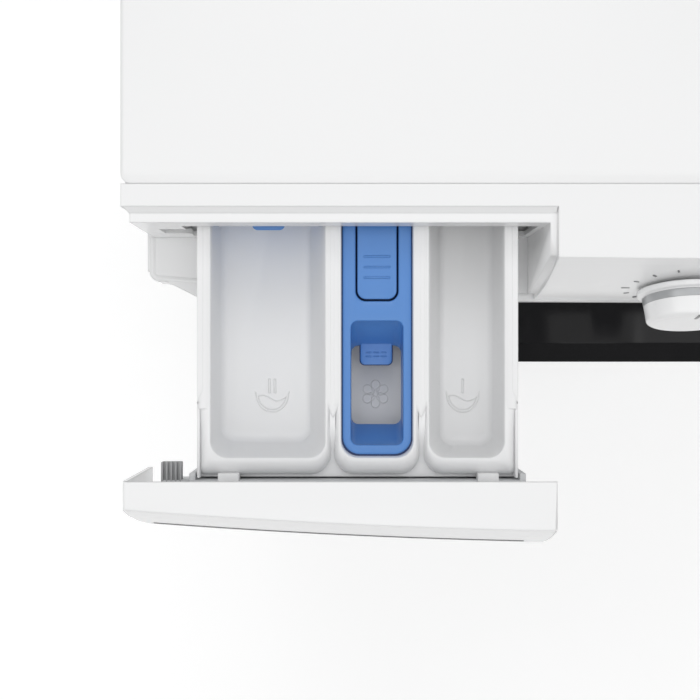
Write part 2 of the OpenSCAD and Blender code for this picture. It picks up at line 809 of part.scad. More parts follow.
module liquid_flap() {
    x0 = main_x + play;
    x1 = main_x + main_w - play;
    color("royalblue") pulled_out() {
        hull() {
            slab([x0, x1], [flap_m - 1.2, flap_m + 1.2], [flap_z - 2, flap_z + 1]);
            slab([x0, x1], [flap_m - flap_lean - 1.2, flap_m - flap_lean + 1.2], [flap_z - flap_h, flap_z - flap_h + 1]);
        }
        slab([main_x + main_w / 2 - 9, main_x + main_w / 2 + 9], [flap_m, flap_m + 7], [flap_z - 1.6, flap_z + 1]);
        cross_rod([main_x - 1, main_x + main_w + 1], flap_m, flap_z, flap_pin_r);
    }
}

// ---------- Dispenser, valve and fill hose ----------

module dispenser_housing() {
    wall = 2.5;
    color("whitesmoke") difference() {
        union() {
            slab([housing_x[0] - wall, housing_x[1] + wall], [housing_m[0] - wall, housing_m[1]], [housing_z[0] - wall, housing_z[1]]);
            post(outlet_x, outlet_m, [housing_z[0] - 18, housing_z[0]], hose_r - 2.5);
        }
        slab(housing_x, [housing_m[0], housing_m[1] + eps], [housing_z[0] + 2, housing_z[1] + eps]);
        slab([catch_x - 2, housing_x[0] + eps], [tray_m - 12, housing_m[1] + eps], [catch_z - 2, catch_z + catch_h + 2]);
        post(outlet_x, outlet_m, [housing_z[0] - 19, housing_z[0] + 3], hose_r - 5);
    }
}

module dispenser_cover() {
    z0 = housing_z[1];
    top_z = min(z0 + 12, cab_h - worktop_t - 1);
    color("lightgray") {
        slab([housing_x[0] - 2.5, housing_x[1] + 2.5], [housing_m[0] - 2.5, lip_m - fascia_t - 2], [z0, z0 + 2.5]);
    }
}

module inlet_valve() {
    color("white") {
        difference() {
            union() {
                front_rod(valve_x, valve_z, [rear_m - thread_len, rear_m + eps], thread_r);
                front_rod(valve_x, valve_z, [rear_m, rear_m + 14], thread_r + 1);
            }
            front_rod(valve_x, valve_z, [rear_m - thread_len - eps, rear_m + 6], thread_r - 3);
        }
        slab([valve_x - 20, valve_x + 20], [rear_m + 14 - eps, rear_m + 46], [valve_z - 20, valve_z + 18]);
    }
}

// A soft hose that leaves both ends square to them
module soft_hose(from, from_dir, to, to_dir, r) {
    steps = 9;
    reach = norm(to - from) / 2.6;
    path = [for (i = [0:steps]) bend(from, from + from_dir * reach, to + to_dir * reach, to, i / steps)];
    sweep(concat([from], [from + from_dir * 2], [for (i = [1:steps - 1]) path[i]], [to + to_dir * 2], [to]), r, 12);
}

module fill_hose() {
    color("dimgray") soft_hose(
        [outlet_x, front_y - outlet_m, housing_z[0] - 18], [0, 0, -1],
        [fill_x, front_y - fill_m, fill_z], [0, 0, 1], hose_r);
}

module sump_hose() {
    color("dimgray") soft_hose(
        [drain_x, front_y - drain_m, drain_z], [0, 0, -1],
        [pump_x - pump_r - 16, front_y - drain_m, pump_z], [-1, 0, 0], 15);
}

// ---------- Door ----------

// A piece of the door's ring between two radii
module door_frame() {
    r = door_r;
    p = door_proud;
    wall = 3;
    bevel = 12.6;                           // depth of the ring's front bevel
    grip_z = 52;
    color([0.05, 0.05, 0.06]) difference() {
        union() {
            turned([
                [r - 2, door_back + 2], [r, door_back + 4], [r, p - bevel], [r - 9, p], [r - 38, p],
                [ring_in + 4, p - 13], [ring_in, p - 15], [ring_in, p - 19],
                [ring_in + 8, p - 19], [r - 40, p - wall - 1], [r - 11, p - wall - 1], [r - wall, p - bevel - 2],
                [r - wall, door_back + 2]
            ]);
            // block behind the finger grip
            intersection() {
                front_rod(0, drum_z, [door_back + 3, p - 3.5], r - 1);
                slab([r - 44, r], [door_back + 9, p - 8], [drum_z - grip_z - 4, drum_z + grip_z + 4]);
            }
        }
        slab([r - 40, r + 2], [door_back + 12, p - 14], [drum_z - grip_z, drum_z + grip_z]);
        slab([-r - 2, -r + 24], [door_back, hinge_m + 10], [drum_z - knuckle_z - 16, drum_z + knuckle_z + 16]);
    }
}

module door_window() {
    color([0.1, 0.1, 0.12, 0.6])
        turned([[0, door_proud - 14], [90, door_proud - 15.5], [ring_in - 0.4, door_proud - 19],
            [ring_in - 0.4, door_proud - 22], [90, door_proud - 18.5], [0, door_proud - 17]]);
}

module door_bowl() {
    color([0.8, 0.9, 0.95, 0.35])
        turned([
            [bowl_r + 10, 12], [bowl_r, 12], [bowl_r - glass_t, 6],
            [bowl_foot, -bowl_d + 12], [bowl_foot - 14, -bowl_d + glass_t], [0, -bowl_d + glass_t],
            [0, -bowl_d], [bowl_foot - 8, -bowl_d], [bowl_foot + glass_t, -bowl_d + 10],
            [bowl_r, 4], [bowl_r + 2, 7], [bowl_r + 10, 7]
        ]);
}

module door_inner_ring() {
    bead_room = 5.4;                        // over the gasket's bead
    color("silver") difference() {
        turned([
            [bowl_r + 2.5, bead_room], [port_r + 10, bead_room], [port_r + 10, door_back],
            [door_r - 6, door_back], [door_r - 6, door_back + 4.6],
            [ring_in + 6, door_back + 4.6], [ring_in + 6, door_proud - 23], [ring_in - 6, door_proud - 23],
            [ring_in - 6, 12.2], [bowl_r + 10.2, 12.2], [bowl_r + 10.2, 6.8], [bowl_r + 2.5, 6.8]
        ]);
        slab([lock_x - 8, lock_x + 8], [0, 10], [drum_z - 14, drum_z + 14]);
        slab([-door_r, -door_r + 28], [0, 30], [drum_z - knuckle_z - 16, drum_z + knuckle_z + 16]);
    }
}

module door_hinge() {
    lug_gap = 0.4;
    color("silver") {
        slab([hinge_x - 20, hinge_x + 8], [0, 2.5], [drum_z - knuckle_z - 28, drum_z + knuckle_z + 28]);
        for (z = [drum_z - knuckle_z - lug_gap - hinge_lug_h, drum_z + knuckle_z + lug_gap]) {
            slab([hinge_x - 8, hinge_x + 8], [2, hinge_m], [z, z + hinge_lug_h]);
            post(hinge_x, hinge_m, [z, z + hinge_lug_h], 8);
        }
        post(hinge_x, hinge_m, [drum_z - knuckle_z - hinge_lug_h, drum_z + knuckle_z + hinge_lug_h], hinge_pin_r);
    }
}

module door_hinge_arm() {
    reach = hinge_x + 38;
    color("silver") difference() {
        union() {
            post(hinge_x, hinge_m, [drum_z - knuckle_z, drum_z + knuckle_z], 7.5);
            slab([hinge_x, reach], [hinge_m - 7.5, hinge_m - 3], [drum_z - knuckle_z + 4, drum_z + knuckle_z - 4]);
            slab([reach - 6, reach], [door_back + 4.2, hinge_m - 3], [drum_z - knuckle_z + 4, drum_z + knuckle_z - 4]);
        }
        post(hinge_x, hinge_m, [drum_z - knuckle_z - eps, drum_z + knuckle_z + eps], hinge_pin_r + run_gap);
    }
}

module latch_hook() {
    color("silver") difference() {
        union() {
            slab([lock_x - 3, lock_x + 3], [-15, 4], [drum_z - 9, drum_z + 9]);
            slab([lock_x - 3, lock_x + 7], [-15, -11], [drum_z - 9, drum_z + 9]);
            post(lock_x, 6, [drum_z - 9, drum_z + 9], 4);
        }
        post(lock_x, 6, [drum_z - 10, drum_z + 10], 1.6);
    }
}

module door_lock() {
    color("dimgray") difference() {
        slab([lock_x - 20, lock_x + 34], [-34, -sheet_t], [drum_z - 34, drum_z + 34]);
        slab([lock_x - 10, lock_x + 14], [-22, 0], [drum_z - 15, drum_z + 15]);
    }
}

module door_gasket() {
    lip = bowl_r + 3.5;
    edge = port_r - 0.4;
    color("gray") turned([
        [edge + 8, 0.3], [edge + 8, 4.6], [edge - 6, 4.6], [lip, -5], [lip, -8],
        [edge - 5.5, 2], [edge - 3, -1], [edge - 3, -29],
        [neck_r + 0.3, -37], [neck_r + 0.3, neck_m - 8], [neck_r + 3.3, neck_m - 8], [neck_r + 3.3, -36],
        [edge, -28], [edge, 0.3]
    ]);
}

// ---------- Wash unit ----------

module tub_front() {
    flange = 8;
    color("lightgray") {
        difference() {
            union() {
                turned([
                    [neck_r - 4, neck_m], [neck_r - 4, tub_m0 - 4], [tub_r - 6, tub_m0 - 4], [tub_r, tub_m0 - 10],
                    [tub_r, tub_split], [tub_out + flange, tub_split], [tub_out + flange, tub_split + 6],
                    [tub_out, tub_split + 6], [tub_out, tub_m0 - 4], [tub_out - 5, tub_m0],
                    [neck_r, tub_m0], [neck_r, neck_m]
                ]);
                difference() {
                    union() {
                        post(drain_x, drain_m, [drain_z, drum_z - tub_rise(drain_x) + 14], 15);
                        damper_lugs(damper_ms[0]);
                    }
                    front_rod(0, drum_z, [tub_split, tub_m0 - 2], tub_r + 2);
                }
            }
            post(drain_x, drain_m, [drain_z - eps, drum_z - tub_r + 60], 12);
        }
    }
}

// Lugs under the tub that the damper rods hang from
module damper_lugs(m) {
    for (side = [-1, 1])
        slab([side * damper_x - 12, side * damper_x + 12], [m - 11, m + 11],
            [drum_z - tub_rise(damper_x) - 16, drum_z - tub_rise(damper_x) + 24]);
}

module tub_rear() {
    flange = 8;
    color("lightgray") difference() {
        union() {
            turned([
                [tub_r, tub_split - 0.2], [tub_r, tub_m1 + 6], [tub_r - 6, tub_m1], [bearing_r, tub_m1],
                [bearing_r, hub_m], [hub_r, hub_m], [hub_r + 6, tub_m1 - tub_t], [tub_out - 6, tub_m1 - tub_t],
                [tub_out, tub_m1], [tub_out, tub_split - 6], [tub_out + flange, tub_split - 6],
                [tub_out + flange, tub_split - 0.2]
            ]);
            difference() {
                union() {
                    damper_lugs(damper_ms[1]);
                    // spring arms, motor hangers and the fill spigot
                    for (side = [-1, 1])
                        slab([min(side * tub_r / 2, side * (spring_x + 12)), max(side * tub_r / 2, side * (spring_x + 12))],
                            [tub_split - 46, tub_split - 18], [spring_z0 - 12, spring_z0]);
                    for (m = [tub_m1 + 8, tub_m1 + 44])
                        difference() {
                            slab([-24, 24], [m - 8, m + 8], [motor_z + motor_r - 12, drum_z - tub_r]);
                            front_rod(0, motor_z, [m - 9, m + 9], motor_r + run_gap);
                        }
                    post(fill_x, fill_m, [fill_z - 40, fill_z], 15);
                }
                front_rod(0, drum_z, [tub_m1 - 1, tub_split], tub_r + 2);
            }
        }
        post(fill_x, fill_m, [fill_z - 60, fill_z + eps], 12);
        for (side = [-1, 1])
            front_rod(side * 18, drum_z - drum_r - 8, [tub_m1 - tub_t - 1, tub_m1 + 9], 4.6);
    }
}

module bearings() {
    color("silver") for (m = [tub_m1 - 4 - bearing_w, hub_m + 4])
        turned([[shaft_r + run_gap, m], [bearing_r, m], [bearing_r, m + bearing_w], [shaft_r + run_gap, m + bearing_w]]);
}

module drum() {
    t = drum_t;
    color("silver") turned([
        [mouth_r, drum_m0 + 6], [mouth_r + 4, drum_m0 + 9], [drum_r - 12, drum_m0], [drum_r, drum_m0 - 10],
        [drum_r, drum_m1], [18, drum_m1], [18, drum_m1 + t], [drum_r - t, drum_m1 + t],
        [drum_r - t, drum_m0 - 10.6], [drum_r - 12.6, drum_m0 - t], [mouth_r + 4, drum_m0 + 9 - t], [mouth_r + 1, drum_m0 + 5.4]
    ]);
}

module drum_lifters() {
    lifter_m = [drum_m1 + drum_t + 6, drum_m0 - 18];
    color("whitesmoke") for (a = [90, 210, 330])
        on_axis() rotate([0, 0, a]) translate([lifter_base - lifter_h, 0, lifter_m[0]])
            linear_extrude(lifter_m[1] - lifter_m[0])
                polygon([[0, -8], [4, -12], [lifter_h, -lifter_w], [lifter_h, lifter_w], [4, 12], [0, 8]]);
}

module drum_spider() {
    m0 = drum_m1;
    color("gray") {
        turned([[0, m0 - 22], [shaft_r, m0 - 22], [shaft_r, pulley_m + 2], [shaft_r - 3, pulley_m + 2],
            [shaft_r - 3, pulley_m - pulley_w - 6], [0, pulley_m - pulley_w - 6]]);
        turned([[0, m0 - 24], [36, m0 - 24], [40, m0 - 4], [40, m0], [0, m0]]);
        for (a = [90, 210, 330])
            on_axis() rotate([0, 0, a]) translate([30, -13, m0 - 18]) cube([drum_r - 34, 26, 18]);
    }
}

module drum_pulley() {
    r = pulley_r;
    hub = 22;
    front = pulley_m;
    back = pulley_m - pulley_w;
    color("silver") difference() {
        turned([
            [shaft_r - 3, front], [hub, front], [hub, front - 7], [r - 8, front - 7], [r - 8, front], [r, front],
            [r, back], [r - 8, back], [r - 8, back + 7], [hub, back + 7], [hub, back], [shaft_r - 3, back]
        ]);
        for (a = [0:60:300])
            on_axis() rotate([0, 0, a]) translate([(hub + r) / 2 - 2, 0, back - 1]) cylinder(h = pulley_w + 2, r = 30);
    }
}

// Outline of a band of even offset round both pulleys
module belt_plan(offset_r) {
    r1 = pulley_r + offset_r;
    r2 = motor_pulley_r + offset_r;
    d = drum_z - motor_z;
    a = asin((r1 - r2) / d);
    circle(r1);
    translate([0, -d]) circle(r2);
    polygon([
        [-r1 * cos(a), -r1 * sin(a)], [-r2 * cos(a), -d - r2 * sin(a)],
        [r2 * cos(a), -d - r2 * sin(a)], [r1 * cos(a), -r1 * sin(a)]
    ]);
}

module drive_belt() {
    gap = 0.3;
    color([0.12, 0.12, 0.12]) on_axis() translate([0, 0, pulley_m - pulley_w + 2]) difference() {
        linear_extrude(pulley_w - 4) belt_plan(gap + belt_t);
        translate([0, 0, -1]) linear_extrude(pulley_w) belt_plan(gap);
    }
}

module motor() {
    color("dimgray") difference() {
        union() {
            front_rod(0, motor_z, [motor_m1, motor_m1 + motor_len], motor_r);
            front_rod(0, motor_z, [motor_m1 + motor_len - 1, motor_m1 + motor_len + 10], 24);
        }
        front_rod(0, motor_z, [motor_m1 - 1, motor_m1 + 30], 6 + run_gap);
    }
}

module motor_pulley() {
    color("silver") {
        front_rod(0, motor_z, [pulley_m - pulley_w, motor_m1 + 29], 6);
        front_rod(0, motor_z, [pulley_m - pulley_w + 0.5, pulley_m - 0.5], motor_pulley_r);
    }
}

module weight_arc(from, to) {
    on_axis() rotate([0, 0, from]) translate([0, 0, tub_m0 + 0.1])
        rotate_extrude(angle = to - from) polygon([[neck_r + 20, 0], [tub_r - 10, 0], [tub_r - 14, 32], [neck_r + 24, 32]]);
}

module counterweights() {
    top_x = [-60, 170];
    color("darkgray") {
        weight_arc(28, 152);
        weight_arc(208, 332);
        difference() {
            slab(top_x, [tub_split + 12, tub_m0 - 50], [drum_z + tub_out * 0.75, drum_z + tub_out + 36]);
            front_rod(0, drum_z, [tub_split - 10, 0], tub_out + 0.3);
        }
    }
}

module suspension_springs() {
    turns = 9;
    per_turn = 10;
    z1 = hanger_z - wire_r - 0.1;
    z0 = spring_z0 + wire_r + 0.1;
    color("silver") for (side = [-1, 1])
        sweep([for (i = [0:turns * per_turn]) [
            side * spring_x + spring_r * cos(360 * i / per_turn),
            front_y - spring_m + spring_r * sin(360 * i / per_turn),
            z0 + (z1 - z0) * i / (turns * per_turn)]], wire_r, 6);
}

module damper_cylinders() {
    color("dimgray") for (side = [-1, 1], m = damper_ms)
        difference() {
            post(side * damper_x, m, [base_floor, damper_cyl_top], damper_out);
            post(side * damper_x, m, [base_floor + 12, damper_cyl_top + eps], damper_rod_r + damper_gap);
        }
}

module damper_rods() {
    top = drum_z - tub_rise(damper_x) - 16;
    color("silver") for (side = [-1, 1], m = damper_ms)
        post(side * damper_x, m, [base_floor + 30, top], damper_rod_r);
}

module heater() {
    rod_r = 4;
    z = drum_z - drum_r - 8;
    x = 18;
    m_tip = tub_m1 + 150;
    color("silver") {
        for (side = [-1, 1])
            front_rod(side * x, z, [tub_m1 - tub_t - 12, m_tip], rod_r);
        cross_rod([-x, x], m_tip, z, rod_r);
        slab([-30, 30], [tub_m1 - tub_t - 4, tub_m1 - tub_t - 0.1], [z - 9, z + 9]);
    }
}

// ---------- Assembly ----------

side_panel_left();
side_panel_right();
rear_panel();
front_panel();
base_pan();
worktop();
top_braces();
fascia();
cabinet_screws();
mains_gland();
control_module();
display_window();
program_knob();
start_button();
option_button_left();
option_button_right();
service_flap();
filter_cap();
foot_front_left();
foot_front_right();
foot_rear_left();
foot_rear_right();
foot_locknuts();
drawer_front();
drawer_carrier();
drawer_tray();
siphon_insert();
release_tab();
liquid_flap();
dispenser_housing();
dispenser_cover();
inlet_valve();
fill_hose();
door_frame();
door_window();
door_bowl();
door_inner_ring();
door_hinge();
door_hinge_arm();
latch_hook();
door_lock();
door_gasket();
tub_front();
tub_rear();
drum();
drum_lifters();
drum_spider();
bearings();
drum_pulley();
drive_belt();
motor();
motor_pulley();
counterweights();
suspension_springs();
damper_cylinders();
damper_rods();
heater();
drain_pump();
pump_impeller();
sump_hose();
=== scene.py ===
"""Front load washing machine with its detergent drawer pulled out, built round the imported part."""

import json
import math

import bmesh
import bpy
from mathutils import Matrix, Vector


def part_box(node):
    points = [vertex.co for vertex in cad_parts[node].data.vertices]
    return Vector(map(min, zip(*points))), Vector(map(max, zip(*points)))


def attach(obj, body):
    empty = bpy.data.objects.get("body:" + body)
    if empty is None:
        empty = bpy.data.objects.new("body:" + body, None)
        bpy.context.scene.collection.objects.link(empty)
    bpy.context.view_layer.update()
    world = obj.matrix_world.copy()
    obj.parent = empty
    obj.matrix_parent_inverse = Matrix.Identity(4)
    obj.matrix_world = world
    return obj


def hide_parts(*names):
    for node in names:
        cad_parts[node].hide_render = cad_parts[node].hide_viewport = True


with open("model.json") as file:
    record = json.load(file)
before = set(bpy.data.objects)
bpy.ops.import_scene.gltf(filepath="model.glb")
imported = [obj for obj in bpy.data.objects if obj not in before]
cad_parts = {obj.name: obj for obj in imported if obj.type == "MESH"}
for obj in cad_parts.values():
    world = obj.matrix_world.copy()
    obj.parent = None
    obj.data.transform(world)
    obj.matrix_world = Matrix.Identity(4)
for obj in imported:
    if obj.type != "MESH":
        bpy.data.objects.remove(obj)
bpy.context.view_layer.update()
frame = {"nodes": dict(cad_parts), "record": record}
scene = bpy.context.scene
nodes = frame["nodes"]
body_of_node = {n: b for b, ns in frame["record"]["behaviour"]["bodies"].items() for n in ns}

# Sizes in millimetres. x is across the machine, m is forward of the front panel, z is height.
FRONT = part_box("front_panel")[0][1]
TRAVEL = 142
FASCIA_TOP = 846
TRAY_TOP = FASCIA_TOP - 24
TRAY_FLOOR = TRAY_TOP - 47
TRAY_M = -28.6
TRAY_REAR = -278.6
TRAY_X = (-262.4, -89.5)
BOWL_M = (-270.6, -39.3)
MAIN_X = (-255.5, -192.9)
SOFT_X = (-185.3, -145.5)
PRE_X = (-137.9, -96.5)
INSERT_TOP = TRAY_TOP - 4
AXIS_Z = 430
DOOR_PROUD = 51.6
BOWL_R = 149
FASCIA_H = 100
FACE_R = 352          # the fascia's curve from top to foot
FACE_DROP = 13.9      # height of the curve's centre below the fascia's foot
FACE_FOOT_M = 15.6
FACE_BOW_R = 3838     # the fascia's bow across the machine
CONTROL_DOWN = 48     # the controls' height, measured down from the fascia's top
KNOB_X, DISPLAY_X, START_X = 8, 112, 250
INLET_X, INLET_Z = -229, 764
LIFTER_BASE_R = 242.4
PERFORATION_R = 242.6
DOOR_STEPS = 160
ON_DRAWER = ("drawer", "release_tab", "liquid_flap")


# ---------- Mesh tools ----------


def join(parts):
    """One mesh of several built ones."""
    whole = bmesh.new()
    for part in parts:
        store = bpy.data.meshes.new("store")
        part.to_mesh(store)
        part.free()
        whole.from_mesh(store)
        bpy.data.meshes.remove(store)
    return whole


def loft(rings, caps=(True, True), ring_closed=True, loop=False):
    """Skin over rings of (x, m, z) points that all have the same count."""
    bm = bmesh.new()
    rows = [[bm.verts.new((x, -m, z)) for x, m, z in ring] for ring in rings]
    n = len(rows[0])
    steps = list(zip(rows, rows[1:])) + ([(rows[-1], rows[0])] if loop else [])
    for a, b in steps:
        for i in range(n if ring_closed else n - 1):
            j = (i + 1) % n
            bm.faces.new((a[i], a[j], b[j], b[i]))
    if not loop:
        for wanted, row in zip(caps, (rows[0], rows[-1])):
            if wanted:
                bm.faces.new(row)
    return bm


def outline(x, m, radii, z, grow=(0, 0, 0, 0), corner=8, side=1):
    """Ring round a rectangle with round corners. grow widens its left, right, front and rear.
    radii are the front pair's and the rear pair's, or front right, front left, rear left, rear right."""
    x0, x1 = x[0] - grow[0], x[1] + grow[1]
    m0, m1 = m[0] - grow[3], m[1] + grow[2]
    a, b, c, d = radii if len(radii) == 4 else (radii[0], radii[0], radii[1], radii[1])
    turns = (
        ((x1 - a, m1 - a), a, 0),
        ((x0 + b, m1 - b), b, 90),
        ((x0 + c, m0 + c), c, 180),
        ((x1 - d, m0 + d), d, 270),
    )
    ring = []
    for (cx, cm), r, start in turns:
        for k in range(corner + 1):
            a = math.radians(start + 90 * k / corner)
            ring.append((cx + r * math.cos(a), cm + r * math.sin(a), z))
    full = []
    for i, p in enumerate(ring):
        full.append(p)
        if side > 1 and i % (corner + 1) == corner:
            q = ring[(i + 1) % len(ring)]
            for s in range(1, side):
                full.append(tuple(p[c] + (q[c] - p[c]) * s / side for c in range(3)))
    return full


def soft_box(x, m, z, r=0.8, steps=2):
    """Box with rounded edges."""
    bm = bmesh.new()
    bmesh.ops.create_cube(bm, size=1)
    for v in bm.verts:
        v.co = (
            x[0] + (x[1] - x[0]) * (v.co.x + 0.5),
            -(m[0] + (m[1] - m[0]) * (0.5 - v.co.y)),
            z[0] + (z[1] - z[0]) * (v.co.z + 0.5),
        )
    bmesh.ops.bevel(bm, geom=list(bm.edges), offset=r, segments=steps, profile=0.5, affect="EDGES")
    return bm


def soft_plate(x, m, z, radii, edge=0.8, corner=8):
    """Plate with round corners in plan and rounded upper and lower edges."""
    rings = []
    for inset, height in ((edge, z[0]), (0.3 * edge, z[0] + 0.3 * edge), (0, z[0] + edge),
                          (0, z[1] - edge), (0.3 * edge, z[1] - 0.3 * edge), (edge, z[1])):
        r = tuple(max(q - inset, 0.2) for q in radii)
        rings.append(outline(x, m, r, height, (-inset,) * 4, corner))
    return loft(rings)


def pierced_plate(outer, holes, z, edge=0.8):
    """Plate between z[0] and z[1] with holes. Each shape is (x, m, radii)."""
    bm = bmesh.new()
    top_loops, low_loops = [], []
    for sign, (x, m, radii) in [(1, outer)] + [(-1, h) for h in holes]:
        rows = []
        for inset, height in ((edge, z[1]), (0.3 * edge, z[1] - 0.3 * edge), (0, z[1] - edge), (0, z[0])):
            r = tuple(max(q - sign * inset, 0.2) for q in radii)
            ring = outline(x, m, r, height, (-sign * inset,) * 4)
            rows.append([bm.verts.new((p[0], -p[1], p[2])) for p in ring])
        for a, b in zip(rows, rows[1:]):
            for i in range(len(a)):
                j = (i + 1) % len(a)
                bm.faces.new((a[i], a[j], b[j], b[i]))
        top_loops.append(rows[0])
        low_loops.append(rows[-1])
    for loops in (top_loops, low_loops):
        edges = []
        for row in loops:
            for i in range(len(row)):
                pair = (row[i], row[(i + 1) % len(row)])
                edges.append(bm.edges.get(pair) or bm.edges.new(pair))
        bmesh.ops.triangle_fill(bm, edges=edges, use_beauty=True, use_dissolve=False)
    return bm


def turned(profile, centre=(0, AXIS_Z), start=0, end=360, steps=128):
    """Solid of revolution about an axis that points forward. profile is a closed list of (radius, m)."""
    full = end - start >= 360
    rings = []
    for i in range(steps if full else steps + 1):
        a = math.radians(start + (end - start) * i / steps)
        rings.append([(centre[0] + r * math.cos(a), m, centre[1] + r * math.sin(a)) for r, m in profile])
    bm = loft(rings, loop=full)
    bmesh.ops.remove_doubles(bm, verts=bm.verts, dist=1e-4)
    return bm


def rod(a, b, r, sides=24):
    """Straight round bar between two (x, m, z) points."""
    pa, pb = (Vector((p[0], -p[1], p[2])) for p in (a, b))
    bm = bmesh.new()
    bmesh.ops.create_cone(bm, cap_ends=True, segments=sides, radius1=r, radius2=r, depth=(pb - pa).length)
    turn = (pb - pa).to_track_quat("Z", "Y").to_matrix().to_4x4()
    bmesh.ops.transform(bm, matrix=Matrix.Translation((pa + pb) / 2) @ turn, verts=bm.verts)
    return bm


def fillet(points, radii, steps=5):
    """A closed profile of (radius, m) points with its corners rounded."""
    out = []
    n = len(points)
    for i, (p, r) in enumerate(zip(points, radii)):
        here = Vector(p)
        back = Vector(points[i - 1]) - here
        on = Vector(points[(i + 1) % n]) - here
        if r <= 0:
            out.append(tuple(here))
            continue
        r = min(r, back.length * 0.48, on.length * 0.48)
        a, b = here + back.normalized() * r, here + on.normalized() * r
        for k in range(steps + 1):
            t = k / steps
            out.append(tuple(a * (1 - t) ** 2 + here * 2 * t * (1 - t) + b * t * t))
    return out


def relief_line(points, width, base, height, to_world):
    """Raised line along 2-D points. to_world places (u, v, w), w being the height above the surface."""
    rings = []
    for i, p in enumerate(points):
        a = Vector(points[max(i - 1, 0)])
        b = Vector(points[min(i + 1, len(points) - 1)])
        along = (b - a).normalized()
        side = Vector((-along.y, along.x)) * width / 2
        here = Vector(p)
        ring = []
        for s, w in ((1, base), (1, height * 0.6), (0.6, height), (-0.6, height), (-1, height * 0.6),
                     (-1, base)):
            q = here + side * s
            ring.append(to_world(q.x, q.y, w))
        rings.append(ring)
    return loft(rings)


def arc(cx, cy, r, a0, a1, steps=16, squash=1.0):
    """2-D points along an arc."""
    out = []
    for k in range(steps + 1):
        a = math.radians(a0 + (a1 - a0) * k / steps)
        out.append((cx + r * math.cos(a), cy + r * squash * math.sin(a)))
    return out


def piece(name, built, body, finish, stands_for=(), smooth=40):
    """Makes one shown piece of a built mesh, riding on a body.
    The drawer's pieces are drawn shut and moved out."""
    out = TRAVEL if body in ON_DRAWER else 0
    bm = join(built) if isinstance(built, (list, tuple)) else built
    bmesh.ops.transform(
        bm, matrix=Matrix.Translation((0, FRONT - out / 1000, 0)) @ Matrix.Scale(0.001, 4), verts=bm.verts
    )
    bmesh.ops.recalc_face_normals(bm, faces=bm.faces)
    mesh = bpy.data.meshes.new(name)
    bm.to_mesh(mesh)
    bm.free()
    mesh.shade_smooth()
    mesh.set_sharp_from_angle(angle=math.radians(smooth))
    obj = bpy.data.objects.new(name, mesh)
    scene.collection.objects.link(obj)
    mesh.materials.append(finishes[finish])
    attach(obj, body)
    if stands_for:
        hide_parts(*stands_for)
    return obj


def skinned_copy(node, finish, smooth=32):
    """A merged, smooth-shaded copy of a CAD node in a finish of its own."""
    bm = bmesh.new()
    bm.from_mesh(nodes[node].data)
    bmesh.ops.remove_doubles(bm, verts=bm.verts, dist=3e-6)
    bmesh.ops.dissolve_limit(bm, angle_limit=math.radians(0.3), verts=bm.verts, edges=bm.edges)
    mesh = bpy.data.meshes.new(node + "_skin")
    bm.to_mesh(mesh)
    bm.free()
    mesh.shade_smooth()
    mesh.set_sharp_from_angle(angle=math.radians(smooth))
    obj = bpy.data.objects.new(node + "_skin", mesh)
    scene.collection.objects.link(obj)
    mesh.materials.clear()
    mesh.materials.append(finishes[finish])
    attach(obj, body_of_node[node])
    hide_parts(node)
    return obj


# ---------- Finishes ----------


def both_ways(operation):
    """An operator's method and its reflected form."""
    return (lambda self, other: self.math(operation, self, other),
            lambda self, other: self.math(operation, other, self))


class Value:
    """A node tree's value that can be used as a number in an expression."""

    def __init__(self, tree, socket):
        self.tree, self.socket = tree, socket

    def math(self, operation, *terms):
        node = self.tree.add("Math", {"operation": operation}, dict(enumerate(terms)))
        return Value(self.tree, node.outputs[0])

    def apply(self, operation, *terms):
        """The named operation on this value and the given terms."""
        return self.math(operation, self, *terms)

    __add__, __radd__ = both_ways("ADD")
    __sub__, __rsub__ = both_ways("SUBTRACT")
    __mul__, __rmul__ = both_ways("MULTIPLY")
    __truediv__, __rtruediv__ = both_ways("DIVIDE")


class Tree:
    """A node tree whose nodes all come from one method."""

    def __init__(self, nodes_and_links):
        self.tree = nodes_and_links

    def add(self, kind, settings=None, values=None):
        """A node with its settings, then the values or links of its sockets."""
        node = self.tree.nodes.new(kind if "Node" in kind else "ShaderNode" + kind)
        for key, value in (settings or {}).items():
            setattr(node, key, value)
        for key, value in (values or {}).items():
            socket = value.socket if isinstance(value, Value) else value
            if isinstance(socket, bpy.types.NodeSocket):
                self.tree.links.new(socket, node.inputs[key])
            else:
                node.inputs[key].default_value = socket
        return node


